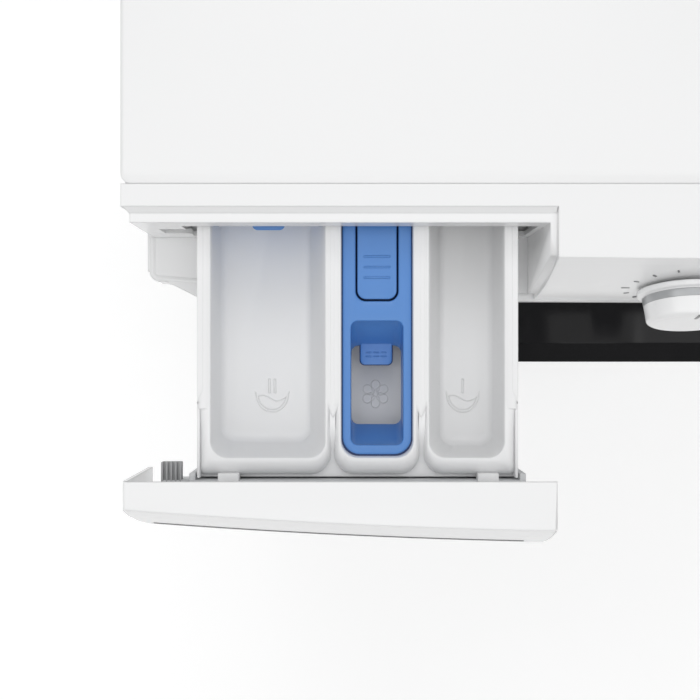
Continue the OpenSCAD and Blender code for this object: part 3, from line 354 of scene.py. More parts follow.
class Finish(Tree):
    """One material, built from named parts."""

    def __init__(self, name, **constants):
        self.material = bpy.data.materials.new(name)
        self.material.use_nodes = True
        super().__init__(self.material.node_tree)
        self.shader = self.tree.nodes["Principled BSDF"]
        for key, value in constants.items():
            self.shader.inputs[key.replace("_", " ")].default_value = value
        self.place = self.add("TexCoord").outputs["Object"]

    def link(self, value, name):
        self.tree.links.new(value.socket if isinstance(value, Value) else value, self.shader.inputs[name])

    def stretched(self, scale):
        return self.add("Mapping", None, {"Vector": self.place, "Scale": scale}).outputs[0]

    def noise(self, scale, detail=3.0, rough=0.5, stretch=None):
        """Noise from 0 to 1. scale is in ripples per metre."""
        place = self.stretched(stretch) if stretch else self.place
        node = self.add("TexNoise", None, {"Vector": place, "Scale": scale, "Detail": detail,
                                           "Roughness": rough})
        return Value(self, node.outputs["Fac"])

    def blend(self, mask, a, b):
        """Colour a where the mask is 0, b where it is 1."""
        node = self.add("Mix", {"data_type": "RGBA"}, {0: mask, 6: a, 7: b})
        return node.outputs[2]

    def tint(self, mask, colour, low, high, socket="Base Color"):
        """The colour, multiplied by low where the mask is 0 and by high where it is 1."""
        dim, bright = (tuple(min(1, c * factor) for c in colour) + (1,) for factor in (low, high))
        self.link(self.blend(mask, dim, bright), socket)

    def relief(self, height, strength, distance, edge=None):
        """Fine bumps, over edges that look rounded to the given radius."""
        values = {"Strength": strength, "Distance": distance, "Height": height}
        if edge:
            values["Normal"] = self.add("Bevel", {"samples": 4}, {"Radius": edge}).outputs[0]
        self.link(self.add("Bump", None, values).outputs[0], "Normal")


def moulded(name, colour, rough, grain=0.012, grain_scale=2600, drift=0.035, edge=0.0007, **constants):
    """Injection-moulded plastic: a faint drift of tone, a fine texture and soft edges."""
    f = Finish(name, Roughness=rough, **constants)
    f.tint(f.noise(9, 2), colour, 1 - drift, 1 + drift * 0.4)
    f.link(rough - 0.05 + 0.1 * f.noise(60, 4), "Roughness")
    f.relief(f.noise(grain_scale, 2), grain * 8, 0.0002, edge)
    return f.material


def enamelled(name, colour):
    """Stove enamel on sheet steel, with a slight orange-peel."""
    f = Finish(name, Roughness=0.22)
    f.shader.inputs["Coat Roughness"].default_value = 0.06
    f.shader.inputs["Coat Weight"].default_value = 0.5
    f.tint(f.noise(3, 3), colour, 0.985, 1.01)
    f.link(0.2 + 0.08 * f.noise(24, 5), "Roughness")
    peel = f.noise(420, 1.5) + 0.4 * f.noise(1100, 1)
    f.relief(peel, 0.05, 0.0004, 0.0009)
    return f.material


def drawn_metal(name, colour, rough, along, marks=1.0, edge=0.0006):
    """Metal with fine lines. along stretches the lines: small numbers run long."""
    f = Finish(name, Metallic=1.0)
    lines = f.noise(900, 3, 0.6, along)
    cloud = f.noise(14, 4)
    mask = 0.6 * lines + 0.4 * cloud
    f.tint(mask, colour, 0.82, 1.12)
    f.link(rough - 0.06 + 0.16 * lines * marks + 0.06 * cloud, "Roughness")
    f.relief(lines, 0.12 * marks, 0.0002, edge)
    return f.material


def galvanised(name):
    """Zinc-coated sheet with a faint spangle."""
    f = Finish(name, Metallic=1.0)
    cells = f.add("TexVoronoi", {"feature": "F1"}, {"Vector": f.place, "Scale": 90.0})
    tone = Value(f, f.add("SeparateColor", None, {0: cells.outputs["Color"]}).outputs[0])
    f.link(f.blend(tone, (0.50, 0.51, 0.52, 1), (0.66, 0.67, 0.68, 1)), "Base Color")
    f.link(0.34 + 0.14 * tone + 0.08 * f.noise(40, 3), "Roughness")
    f.relief(f.noise(300, 3), 0.06, 0.0003, 0.0006)
    return f.material


def cast(name, colour, metallic, rough, pits=1.0):
    """Rough casting, bare or painted."""
    f = Finish(name, Metallic=metallic)
    big, small = f.noise(50, 5), f.noise(420, 4)
    f.tint(0.7 * big + 0.3 * small, colour, 0.75, 1.2)
    f.link(rough + 0.14 * small, "Roughness")
    f.relief(small + 0.5 * big, 0.35 * pits, 0.0008, 0.001)
    return f.material


def moulded_rubber(name, colour, rough=0.62):
    """Rubber with a matt bloom."""
    f = Finish(name)
    f.tint(f.noise(26, 5), colour, 0.85, 1.25)
    f.link(rough - 0.08 + 0.2 * f.noise(120, 4), "Roughness")
    f.relief(f.noise(1500, 3), 0.15, 0.0003, 0.0008)
    return f.material


def clear(name, colour, rough, tint_rough=0.05, alpha=0.3, ior=1.47):
    """Clear or smoked moulding, drawn as a thin coloured film that lets most light through."""
    f = Finish(name, IOR=ior, Alpha=alpha)
    f.tint(f.noise(5, 2), colour, 0.95, 1.05)
    f.link(rough + tint_rough * f.noise(30, 3), "Roughness")
    f.relief(f.noise(12, 2), 0.04, 0.002)
    return f.material


def glow(name, colour, strength):
    """Lit mark on the display."""
    f = Finish(name, Roughness=0.4)
    f.shader.inputs["Emission Strength"].default_value = strength
    f.tint(f.noise(400, 2), colour, 0.9, 1.0, "Emission Color")
    f.tint(f.noise(400, 2), colour, 0.3, 0.35)
    return f.material


WHITE = (0.86, 0.865, 0.87)
finishes = {
    "enamel": enamelled("white_stove_enamel", WHITE),
    "laminate": moulded("white_laminate", (0.88, 0.883, 0.885), 0.3, 0.01, 900, 0.012, 0.0012),
    "gloss_white": moulded("gloss_white_abs", (0.87, 0.873, 0.876), 0.24, 0.003, 1500, 0.012, 0.0012),
    "satin_white": moulded("satin_white_polypropylene", (0.84, 0.843, 0.848), 0.4, 0.01, 2200, 0.02, 0.0006),
    "light_grey": moulded("light_grey_polypropylene", (0.62, 0.63, 0.64), 0.42, 0.012, 2200, 0.03),
    "mid_grey": moulded("mid_grey_polypropylene", (0.40, 0.405, 0.41), 0.45, 0.012, 2200, 0.03),
    "blue": moulded("blue_polypropylene", (0.085, 0.245, 0.60), 0.32, 0.006, 2000, 0.05, 0.0006),
    # darker blue used as painted shade in the gap round the siphon insert and under its tongues; the flap's
    # catches use it too
    "navy": moulded("deep_blue_polypropylene_and_painted_shade", (0.02, 0.05, 0.17), 0.4, 0.01, 2000, 0.05, 0.0004),
    "gloss_black": moulded("gloss_black_abs", (0.006, 0.006, 0.007), 0.12, 0.002, 1500, 0.2, 0.0012,
                           Specular_IOR_Level=0.2),
    "silver": moulded("silver_grey_abs", (0.42, 0.43, 0.44), 0.3, 0.006, 1800, 0.04, 0.0008, Metallic=0.35),
    "dark": moulded("black_grey_polyamide", (0.03, 0.03, 0.033), 0.5, 0.04, 1600, 0.2),
    "tub": moulded("grey_glass_filled_polypropylene", (0.30, 0.31, 0.32), 0.5, 0.05, 1200, 0.08),
    # dark grey painted as shade inside the drawer's groove, the screw recesses and the drum's holes
    "groove": moulded("shadow_grey_seam", (0.12, 0.12, 0.125), 0.6, 0.01, 1500, 0.05, 0.0001),
    "mark": moulded("grey_printed_mark", (0.22, 0.225, 0.23), 0.45, 0.004, 1500, 0.05, 0.0001),
    "stainless": drawn_metal("brushed_stainless", (0.66, 0.665, 0.67), 0.26, (1, 0.06, 1)),
    "bright": drawn_metal("bright_drawn_steel", (0.60, 0.61, 0.62), 0.3, (1, 1, 0.1), 0.7),
    "zinc": galvanised("zinc_plated_sheet"),
    "alloy": cast("cast_aluminium", (0.55, 0.56, 0.57), 1.0, 0.42),
    "iron": cast("rough_cast_weight", (0.13, 0.13, 0.135), 0.1, 0.62, 1.6),
    "grey_rubber": moulded_rubber("grey_door_rubber", (0.20, 0.205, 0.21)),
    "black_rubber": moulded_rubber("black_rubber", (0.022, 0.022, 0.023)),
    "smoked": clear("smoked_polycarbonate", (0.012, 0.012, 0.014), 0.05, 0.04, 0.82, 1.58),
    "glass": clear("clear_door_glass", (0.80, 0.90, 0.92), 0.03, 0.03, 0.28),
    "lit": glow("lit_display", (0.75, 0.88, 1.0), 3.0),
}


# ---------- Detergent drawer ----------


def ease(t):
    t = max(0.0, min(1.0, t))
    return t * t * (3 - 2 * t)


def compartment(x, lean, rims, outer=0, roll=10.5):
    """One compartment as a closed shell with a rolled front shoulder.
    lean is how far its left, right and front walls draw in by the floor, rims how wide its left, right
    and front rims are. outer is -1 or 1 where the shoulder's left or right corner meets the tray's side.
    The shoulder is flat behind and rolls over towards the front."""
    rings = []
    roll_from, roll_over = -68.5, 8.0

    def inside(grow, corner, rear, z_of, left=1, right=1):
        flat = outline(x, BOWL_M, (corner * right, corner * left, rear, rear), 0, grow, corner=10, side=26)
        return [(px, pm, z_of(pm)) for px, pm, _ in flat]

    def ring(grow, corner, rear, z_of):
        return inside(grow, corner, rear, z_of, 0.3 if outer < 0 else 1, 0.3 if outer > 0 else 1)

    low = TRAY_TOP - 49
    base = (-lean[0] + 2, -lean[1] + 2, -lean[2] + 2, 1)
    rings.append(ring(tuple(b - 4 for b in base), 5, 3, lambda m: low - 1))
    rings.append(ring(tuple(b - 1 for b in base), 8, 4, lambda m: low))
    rings.append(ring(base, 9, 4, lambda m: low + 3))
    rings.append(ring((rims[0], rims[1], rims[2], 2), 9.5 + min(rims), 4, lambda m: TRAY_TOP - 30))
    for k in range(10):
        a = math.radians(90 - 90 * k / 9)
        share = math.sin(a)
        fall = 1 - math.cos(a)
        grow = tuple(w * share for w in rims) + (2 * share,)
        rings.append(ring(grow, 9.5 + 2 * share, 3 + share,
                          lambda m, fall=fall: TRAY_TOP - roll * fall * ease((m - roll_from) / roll_over)))
    for inset, drop in ((0.25, 0.12), (0.5, 0.55)):
        rings.append(inside((-inset,) * 4, 9.5 - inset, 2.8, lambda m, d=drop: TRAY_TOP - d))
    depth = TRAY_TOP - TRAY_FLOOR
    bend = (4.0, 4.0, 6.0)
    for share in (0.25, 0.5, 0.75):
        grow = tuple(-0.5 - l * share for l in lean) + (-0.5,)
        rings.append(inside(grow, 9.4, 2.8, lambda m, s=share: TRAY_TOP - 0.6 - (depth - 7) * s))
    for k in range(7):
        a = math.radians(90 * k / 6)
        grow = tuple(-0.5 - l - b * (1 - math.cos(a)) for l,
                     b in zip(lean, bend)) + (-0.5 - 3 * (1 - math.cos(a)),)
        rings.append(inside(grow, 9.2 - 3 * math.sin(a), 2.6, lambda m,
                            a=a: TRAY_FLOOR + 6 * (1 - math.sin(a))))
    return loft(rings)


def finger(points, z, edge=0.5):
    """Flat strip from plan points, with a slightly eased upper edge."""
    middle = Vector((sum(p[0] for p in points) / len(points), sum(p[1] for p in points) / len(points)))
    rings = []
    for inset, height in ((0, z[0]), (0, z[1] - edge), (edge, z[1])):
        ring = []
        for i, p in enumerate(points):
            a, b = Vector(points[i - 1]), Vector(points[(i + 1) % len(points)])
            along = (b - a).normalized()
            side = Vector((-along.y, along.x))
            if side.dot(middle - Vector(p)) < 0:
                side = -side
            q = Vector(p) + side * inset
            ring.append((q.x, q.y, height))
        rings.append(ring)
    return loft(rings)


def build_tray():
    parts = [
        compartment(MAIN_X, (1.0, 8.5, 5.0), (6.7, 2.4, 9.3), -1),
        compartment(SOFT_X, (1.5, 1.5, 4.0), (3.3, 3.3, 9.3)),
        compartment(PRE_X, (8.0, 1.0, 3.0), (2.0, 6.8, 9.3), 1),
        # low plate between the rolled shoulders, and the tray's front lip and sides
        pierced_plate(((TRAY_X[0] + 0.3, TRAY_X[1] - 0.3), (TRAY_REAR + 1, TRAY_M), (1, 1)),
                      [((x[0] - 1.2, x[1] + 1.2), (BOWL_M[0], BOWL_M[1] + 1.2), (10, 3))
                       for x in (MAIN_X, SOFT_X, PRE_X)],
                      (TRAY_TOP - 12.6, TRAY_TOP - 10), 0.5),
        soft_box((TRAY_X[0], TRAY_X[1]), (TRAY_M - 1.8, TRAY_M), (TRAY_TOP - 46, TRAY_TOP - 12), 0.4),
        *(soft_box(x, (TRAY_REAR, TRAY_M - 0.2), (TRAY_TOP - 40, TRAY_TOP - 0.9), 0.5)
          for x in ((TRAY_X[0], TRAY_X[0] + 1.6), (TRAY_X[1] - 1.6, TRAY_X[1]))),
        soft_box(TRAY_X, (TRAY_REAR, BOWL_M[0] + 0.5), (TRAY_TOP - 40, TRAY_TOP - 0.3), 0.6),
    ]
    # sloping floors of the narrow gaps between the shoulders
    for x0, x1 in ((MAIN_X[1] + 1.8, SOFT_X[0] - 2.6), (SOFT_X[1] + 2.6, PRE_X[0] - 1.4)):
        slope = []
        for m, drop, grow in ((-66, 1, 0), (-61, 1.4, 0), (-56, 3, 0), (-50, 5.4, 0.2), (-44, 7.6, 0.6),
                              (-38, 9.2, 1.5), (-33, 10.2, 2)):
            z = TRAY_TOP - drop
            slope.append([(x0 - grow, m, z - 2), (x0 - grow, m, z), (x1 + grow, m, z), (x1 + grow, m, z - 2)])
        parts.append(loft(slope))
    # rims between and beside the compartments
    for left, right in ((MAIN_X[1], SOFT_X[0]), (SOFT_X[1], PRE_X[0])):
        x0, x1 = left + 0.7, right - 0.7
        mid = (x0 + x1) / 2
        tip = [(x1, -71), (x1 - 0.5, -67), (mid + 1.2, -63.5), (mid, -61.5), (mid - 1.2, -63.5),
               (x0 + 0.5, -67), (x0, -71)]
        parts.append(finger([(x0, TRAY_REAR), (x1, TRAY_REAR)] + tip, (TRAY_TOP - 3, TRAY_TOP + 0.02), 0.3))
    for side, edge, inner in ((1, TRAY_X[0], MAIN_X[0]), (-1, TRAY_X[1], PRE_X[1])):
        shape = [(3.3, TRAY_REAR), (3.3, -76.5), (3.0, -75), (2.2, -73.6), (1.1, -71.8), (0.9, -70.5),
                 (0.9, -66)]
        shape += [(abs(inner - edge) - 1.5, -66), (abs(inner - edge) - 0.7, -70),
                  (abs(inner - edge) - 0.7, TRAY_REAR)]
        parts.append(finger([(edge + side * u, m) for u, m in shape], (TRAY_TOP - 3, TRAY_TOP + 0.05), 0.25))
        low = sorted((edge, edge + side * 5))
        parts.append(soft_box(low, (TRAY_REAR, -72), (TRAY_TOP - 3, TRAY_TOP - 0.55), 0.4))
    piece("tray", parts, "drawer", "satin_white", ["drawer_tray"], 50)
    # two clips that hold the tray in its carrier
    clips = [soft_box((x, x + 11.3), (TRAY_M - 2.9, TRAY_M + 3.6), (TRAY_TOP - 9, TRAY_TOP + 1.2), 0.5)
             for x in (-251.0, -111.4)]
    piece("tray_clips", clips, "drawer", "satin_white")


def on_floor(x, m, z=TRAY_FLOOR):
    """Frame for marks on a compartment's floor: u across, v towards the rear."""
    return lambda u, v, w: (x + u, m - v, z + w)


def basin_mark(x, m, bars):
    """A wash basin with a wavy water line under one or two upright bars."""
    place = on_floor(x, m)
    turns = [t / 16 for t in range(17)]
    wave = [(-7.9 + 15.8 * t, 2.0 + 1.4 * math.sin(2 * math.pi * t + 0.5) - 0.8 * t) for t in turns]
    strokes = [
        (arc(0, 4.0, 9.3, 180, 360, 22, 1.12), 0.55, 0.5), (arc(0, 4.0, 8.0, 188, 352, 22, 1.12), 0.45, 0.5),
        (wave, 0.55, 0.5), ([(-9.3, 4.0), (-9.6, 5.4)], 0.7, 0.5), ([(9.3, 4.0), (9.6, 5.4)], 0.7, 0.5),
    ]
    for u in bars:
        left, right, low, high = u - 0.55, u + 0.55, 4.6, 12.6
        strokes += [([a, b], 0.4, 0.48) for a, b in (
            ((left, low), (left, high)), ((right, low), (right, high)),
            ((left, high), (right, high)), ((left, low), (right, low)))]
    return join([relief_line(line, width, -0.2, height, place) for line, width, height in strokes])


def flower_mark(x, m):
    """Six round petals about a centre."""
    place = on_floor(x, m)
    parts = []
    for k in range(6):
        a = math.radians(60 * k + 90)
        petal = []
        for t in range(19):
            b = math.radians(-160 + 320 * t / 18)
            r = 2.5
            u, v = 5.4 + r * math.cos(b), r * math.sin(b)
            petal.append((u * math.cos(a) - v * math.sin(a), u * math.sin(a) + v * math.cos(a)))
        first, last = ((1.1 * math.cos(a + turn), 1.1 * math.sin(a + turn)) for turn in (-0.25, 0.25))
        petal = [first] + petal + [last]
        parts.append(relief_line(petal, 0.42, -0.2, 0.5, place))
    return join(parts)


def build_drawer_marks():
    for name, mark in (
        ("main_wash_mark", basin_mark(-224.7, -68.6, (-1.55, 1.55))),
        ("prewash_mark", basin_mark(-115.2, -68.6, (0,))),
        ("softener_mark", flower_mark(-165.4, -72.6)),
    ):
        piece(name, mark, "drawer", "satin_white")


def build_insert():
    mid = sum(SOFT_X) / 2
    x = (mid - 18.6, mid + 18.6)
    well_x, well_m = (mid - 14.1, mid + 14.1), (-113.4, -46.3)
    window_x, window_m = (mid - 13.8, mid + 13.8), (-100.2, -56.4)
    tab_x, tab_m = (mid - 11.6, mid + 11.6), (-202.0, -124.1)
    low = INSERT_TOP - 23
    cover = pierced_plate(
        (x, (-264.7, -41.3), (9.4, 4)),
        [(well_x, well_m, (4, 4)), (tab_x, tab_m, (5.5, 1))],
        (INSERT_TOP - 2, INSERT_TOP), 0.7)
    inner, outer = [], []
    for share, drop in ((0, 1.0), (0.05, 3), (0.3, 8), (0.65, 15), (1, 23)):
        sx = tuple(a + (b - a) * share for a, b in zip(well_x, window_x))
        sm = tuple(a + (b - a) * share for a, b in zip(well_m, window_m))
        inner.append(outline(sx, sm, (4, 4), INSERT_TOP - drop))
        outer.append(outline(sx, sm, (5, 5), INSERT_TOP - drop, (1.3,) * 4))
    well = loft(inner + outer[::-1], loop=True)
    # a dark skirt round the insert's edge: painted shade in the gap between the insert and the tray
    skirt = []
    for inset, z in ((-1.1, INSERT_TOP - 2.2), (-1.1, INSERT_TOP - 12), (2.0, INSERT_TOP - 12),
                     (2.0, INSERT_TOP - 2.2)):
        skirt.append(outline(x, (-264.7, -41.3), (9.4 - inset, 4), z, (-inset,) * 4))
    pipe = rod((mid, -244.7, TRAY_FLOOR + 2), (mid, -244.7, INSERT_TOP - 1), 9)
    bridge = [soft_box((mid - 17, mid + 17), (-205, -203), (INSERT_TOP - 5, INSERT_TOP - 1), 0.4)]
    piece("siphon_cover", [cover, well, pipe] + bridge, "drawer", "blue", ["siphon_insert"], 45)
    # a dark plate a little larger than the level tongue: painted shade round the tongue's edge
    under_tongue = soft_plate((mid - 9.3, mid + 9.3), (-103.0, -89.1), (low - 0.6, low + 0.6), (3, 0.4), 0.3)
    piece("siphon_skirt_painted_shade", [loft(skirt, loop=True), under_tongue], "drawer", "navy")
    # level mark: a short tongue at the rear of the well, with a raised line in place of a word
    tongue = soft_plate((mid - 8.8, mid + 8.8), (-103.0, -89.6), (low + 0.4, low + 1.8), (2.6, 0.4), 0.4)
    marks = []
    place = on_floor(mid, -94.2, low + 1.8)
    for u in (-4.2, 0, 4.2):
        marks.append(relief_line([(u - 1.4, 0), (u + 1.4, 0)], 0.5, -0.2, 0.5, place))
        marks.append(relief_line([(u - 1.4, 2.2), (u + 1.4, 2.2)], 0.5, -0.2, 0.5, place))
    piece("softener_level_tongue", [tongue] + marks, "drawer", "blue")
    # the tongue that frees the drawer
    tab = [soft_plate((mid - 10.6, mid + 10.6), (-201.4, -125.2), (INSERT_TOP - 2, INSERT_TOP + 0.15),
                      (4.7, 0.6), 0.5)]
    for i in range(3):
        m = -148.2 + 5.7 * i
        tab.append(soft_box((mid - 7.1, mid + 7.1), (m - 0.45, m + 0.45),
                            (INSERT_TOP - 0.5, INSERT_TOP + 0.75), 0.35))
    piece("release_tongue", tab, "release_tab", "blue", ["release_tab"], 45)
    # a dark plate under the release tongue: painted shadow
    piece("shadow_under_tongue",
          soft_box((tab_x[0] - 0.4, tab_x[1] + 0.4), (tab_m[0] - 1, tab_m[1] + 1),
                   (INSERT_TOP - 9.2, INSERT_TOP - 8), 0.2),
          "drawer", "navy")


def build_liquid_flap():
    x = (MAIN_X[0] + 0.8, MAIN_X[1] - 0.8)
    mid = sum(x) / 2
    z = TRAY_TOP - 6
    m = TRAY_M - 141.1
    blade = []
    for dm, height in ((-6.1, -35.9), (-1.2, -2), (-1.2, 0.6), (-0.8, 1), (0.8, 1), (1.2, 0.6), (1.2, -2),
                       (-3.8, -35.9)):
        blade.append((m + dm, z + height))
    parts = [
        loft([[(px, pm, pz) for pm, pz in blade] for px in x]),
        soft_plate((mid - 8.9, mid + 8.9), (m, m + 7), (z - 1.6, z + 1), (3, 0.6), 0.8),
        rod((x[0] - 1.6, m, z), (x[1] + 1.6, m, z), 1.5, 20),
    ]
    piece("liquid_flap_blade", parts, "liquid_flap", "blue", ["liquid_flap"], 45)
    ends = [soft_box((a, a + 3.8), (m, m + 4.8), (z - 3, z - 0.6), 0.5) for a in (x[0], x[1] - 3.8)]
    piece("liquid_flap_catches", ends, "liquid_flap", "navy")


def front_line(x0, x1, down, inset, corner, rear_m, corner_down, steps=40):
    """Plan points along the face from its upright round left corner to its right end.
    The corner is placed by the face at corner_down."""
    cx = x0 + corner
    cm = face_m(cx, corner_down) - inset - corner
    points = [(x0, rear_m)]
    for k in range(17):
        a = math.radians(180 - 90 * k / 16)
        x = cx + corner * math.cos(a)
        points.append((x, min(cm + corner * math.sin(a), face_m(x, down) - inset)))
    for k in range(1, steps + 1):
        x = cx + (x1 - cx) * k / steps
        points.append((x, face_m(x, down) - inset))
    return points


def build_drawer_front():
    """Bowed front with its top, left flange and the fine groove across it."""
    x0, x1, rear, low = -298.0, -72.4, -29.5, 85.0
    edge = 1.4
    downs = [edge, 4, 12, 20, 30, 38.5, 39.5, 39.7, 41.3, 41.5, 42.5, 52, 62, 72, 80, low - 0.8, low]

    def ring(down, inset, drop=None):
        # the groove stops short of both ends
        groove = 0.9 if 39.6 < down < 41.4 else 0
        out = []
        for x, m in front_line(x0 + inset, x1 - (inset if inset < edge else 0), down, inset, 18 - inset,
                               rear, low):
            cut = groove if x0 + 9.6 < x < x1 - 11.6 and m > -19 else 0
            out.append((x, m - cut, FASCIA_TOP - (down if drop is None else drop)))
        return out

    outer = []
    for k in range(5):
        a = math.radians(90 * k / 4)
        outer.append(ring(edge, edge * (1 - math.sin(a)), edge * (1 - math.cos(a))))
    outer += [ring(d, 0) for d in downs[1:-1]] + [ring(low, 0.4)]
    inner = [ring(d, 2.5) for d in (low, 60, 40, 20, 3.2)]
    rows = outer + inner
    # closed shell: the top plate is the first and the last ring's fill
    bm = bmesh.new()
    verts = [[bm.verts.new((x, -m, z)) for x, m, z in row] for row in rows]
    for a, b in zip(verts, verts[1:]):
        for i in range(len(a) - 1):
            bm.faces.new((a[i], a[i + 1], b[i + 1], b[i]))
    columns = len(verts[0])
    strips = []
    for row, z, back in ((verts[0], 0.0, rear + 0.1), (verts[-1], 3.2, rear + 2.4)):
        line = []
        for i in range(columns):
            v = row[i]
            line.append(bm.verts.new((v.co.x, -back, FASCIA_TOP - z)))
        for i in range(columns - 1):
            bm.faces.new((row[i], row[i + 1], line[i + 1], line[i]))
        strips.append(line)
    for i in range(columns - 1):
        bm.faces.new((strips[0][i], strips[0][i + 1], strips[1][i + 1], strips[1][i]))
    for end in (0, -1):
        side = [row[end] for row in verts] + [strips[1][end], strips[0][end]]
        bm.faces.new(side)
    bmesh.ops.remove_doubles(bm, verts=bm.verts, dist=1e-3)
    posts = []
    for x in (TRAY_X[0] + 24, TRAY_X[1] - 24):
        posts.append(soft_box((x - 6, x + 6), (-24.2, face_m(x, 40) - 1.8),
                              (FASCIA_TOP - 53, FASCIA_TOP - 35), 0.5))
    piece("drawer_face", [bm] + posts, "drawer", "gloss_white", ["drawer_front"], 35)
    # a dark bar inside the face's groove: painted shade
    shadow = []
    for dm, down in ((-0.85, 39.75), (0.36, 39.75), (0.36, 41.25), (-0.85, 41.25)):
        line = [(x0 + 10 + (x1 - x0 - 22) * k / 40, down) for k in range(41)]
        shadow.append([(x, face_m(x, d) + dm, FASCIA_TOP - d) for x, d in line])
    bar = loft([[row[k] for row in shadow] for k in range(41)])
    piece("drawer_groove", bar, "drawer", "groove")
    # strip that carries the tray, with the ribbed catch at its left
    strip = [
        soft_box((TRAY_X[0] - 4.2, TRAY_X[1] + 4.2), (-27.6, -24.2), (TRAY_TOP - 48, TRAY_TOP), 0.6),
        soft_box((-283.9, TRAY_X[0] - 4), (-26.2, -24.2), (785, 807), 0.4),
        soft_box((TRAY_X[0] - 4.2, TRAY_X[0] - 0.9), (-31.4, -24.2), (TRAY_TOP - 40, TRAY_TOP - 0.6), 0.5),
        soft_box((TRAY_X[1] + 0.9, TRAY_X[1] + 4.2), (-31.4, -24.2), (TRAY_TOP - 40, TRAY_TOP - 0.6), 0.5),
    ]
    piece("tray_carrier", strip, "drawer", "light_grey", ["drawer_carrier"], 40)
    catch = [soft_box((-283.9, -272.6), (-36.2, -19.2), (800, 805), 0.5),
             soft_box((-282, -277), (-32, -21), (787, 801), 0.5)]
    for i in range(5):
        x = -283.9 + 2.5 * i
        catch.append(soft_box((x, x + 1.3), (-36.2, -19.2), (804, 807), 0.4))
    piece("drawer_catch", catch, "drawer", "mid_grey")


# ---------- Fascia and controls ----------


def face_m(x, down):
    """m of the fascia's bowed face."""
    base = FACE_FOOT_M - math.sqrt(FACE_R**2 - FACE_DROP**2)
    bow = FACE_BOW_R - math.sqrt(FACE_BOW_R**2 - x * x)
    return base + math.sqrt(FACE_R**2 - (FASCIA_H + FACE_DROP - down) ** 2) - bow


def face_frame(x, down):
    """Frame on the face: u to the right, v up the face, w out of it."""
    tilt = math.asin((FASCIA_H + FACE_DROP - down) / FACE_R)

    def place(u, v, w):
        return (
            x + u,
            face_m(x, down) + w * math.cos(tilt) - v * math.sin(tilt),
            FASCIA_TOP - down + v * math.cos(tilt) + w * math.sin(tilt),
        )

    return place


def face_turned(profile, x, down, steps=64):
    """Solid of revolution about the face's outward line. profile is a closed list of (radius, w)."""
    place = face_frame(x, down)
    rings = []
    for i in range(steps):
        a = 2 * math.pi * i / steps
        rings.append([place(r * math.cos(a), r * math.sin(a), w) for r, w in profile])
    bm = loft(rings, loop=True)
    bmesh.ops.remove_doubles(bm, verts=bm.verts, dist=1e-4)
    return bm


def face_plate(x, down, u, v, w, r, edge=0.5):
    """Rounded plate lying on the face."""
    place = face_frame(x, down)
    rings = []
    for inset, height in ((0, w[0]), (0, w[1] - edge), (0.3 * edge, w[1] - 0.3 * edge), (edge, w[1])):
        flat = outline(u, v, (r - inset * 0.5,) * 2, 0, (-inset,) * 4)
        rings.append([place(p[0], p[1], height) for p in flat])
    return loft(rings)


def segment_digit(place, u0, digit, high=13.0, wide=7.0):
    """A seven-segment numeral."""
    lit = {"0": "abcdef", "1": "bc", "2": "abged", "3": "abgcd", "4": "fgbc", "5": "afgcd"}[digit]
    lines = {
        "a": ((0, high), (wide, high)), "b": ((wide, high), (wide, high / 2)), "c": ((wide, high / 2),
                                                                                     (wide, 0)),
        "d": ((0, 0), (wide, 0)), "e": ((0, 0), (0, high / 2)), "f": ((0, high / 2), (0, high)),
        "g": ((0, high / 2), (wide, high / 2)),
    }
    parts = []
    for key in lit:
        (a, b), (c, d) = lines[key]
        start, end = Vector((u0 + a, b - high / 2)), Vector((u0 + c, d - high / 2))
        gap = (end - start).normalized() * 0.8
        parts.append(relief_line([tuple(start + gap), tuple(end - gap)], 1.3, 0.0, 0.12, place))
    return parts


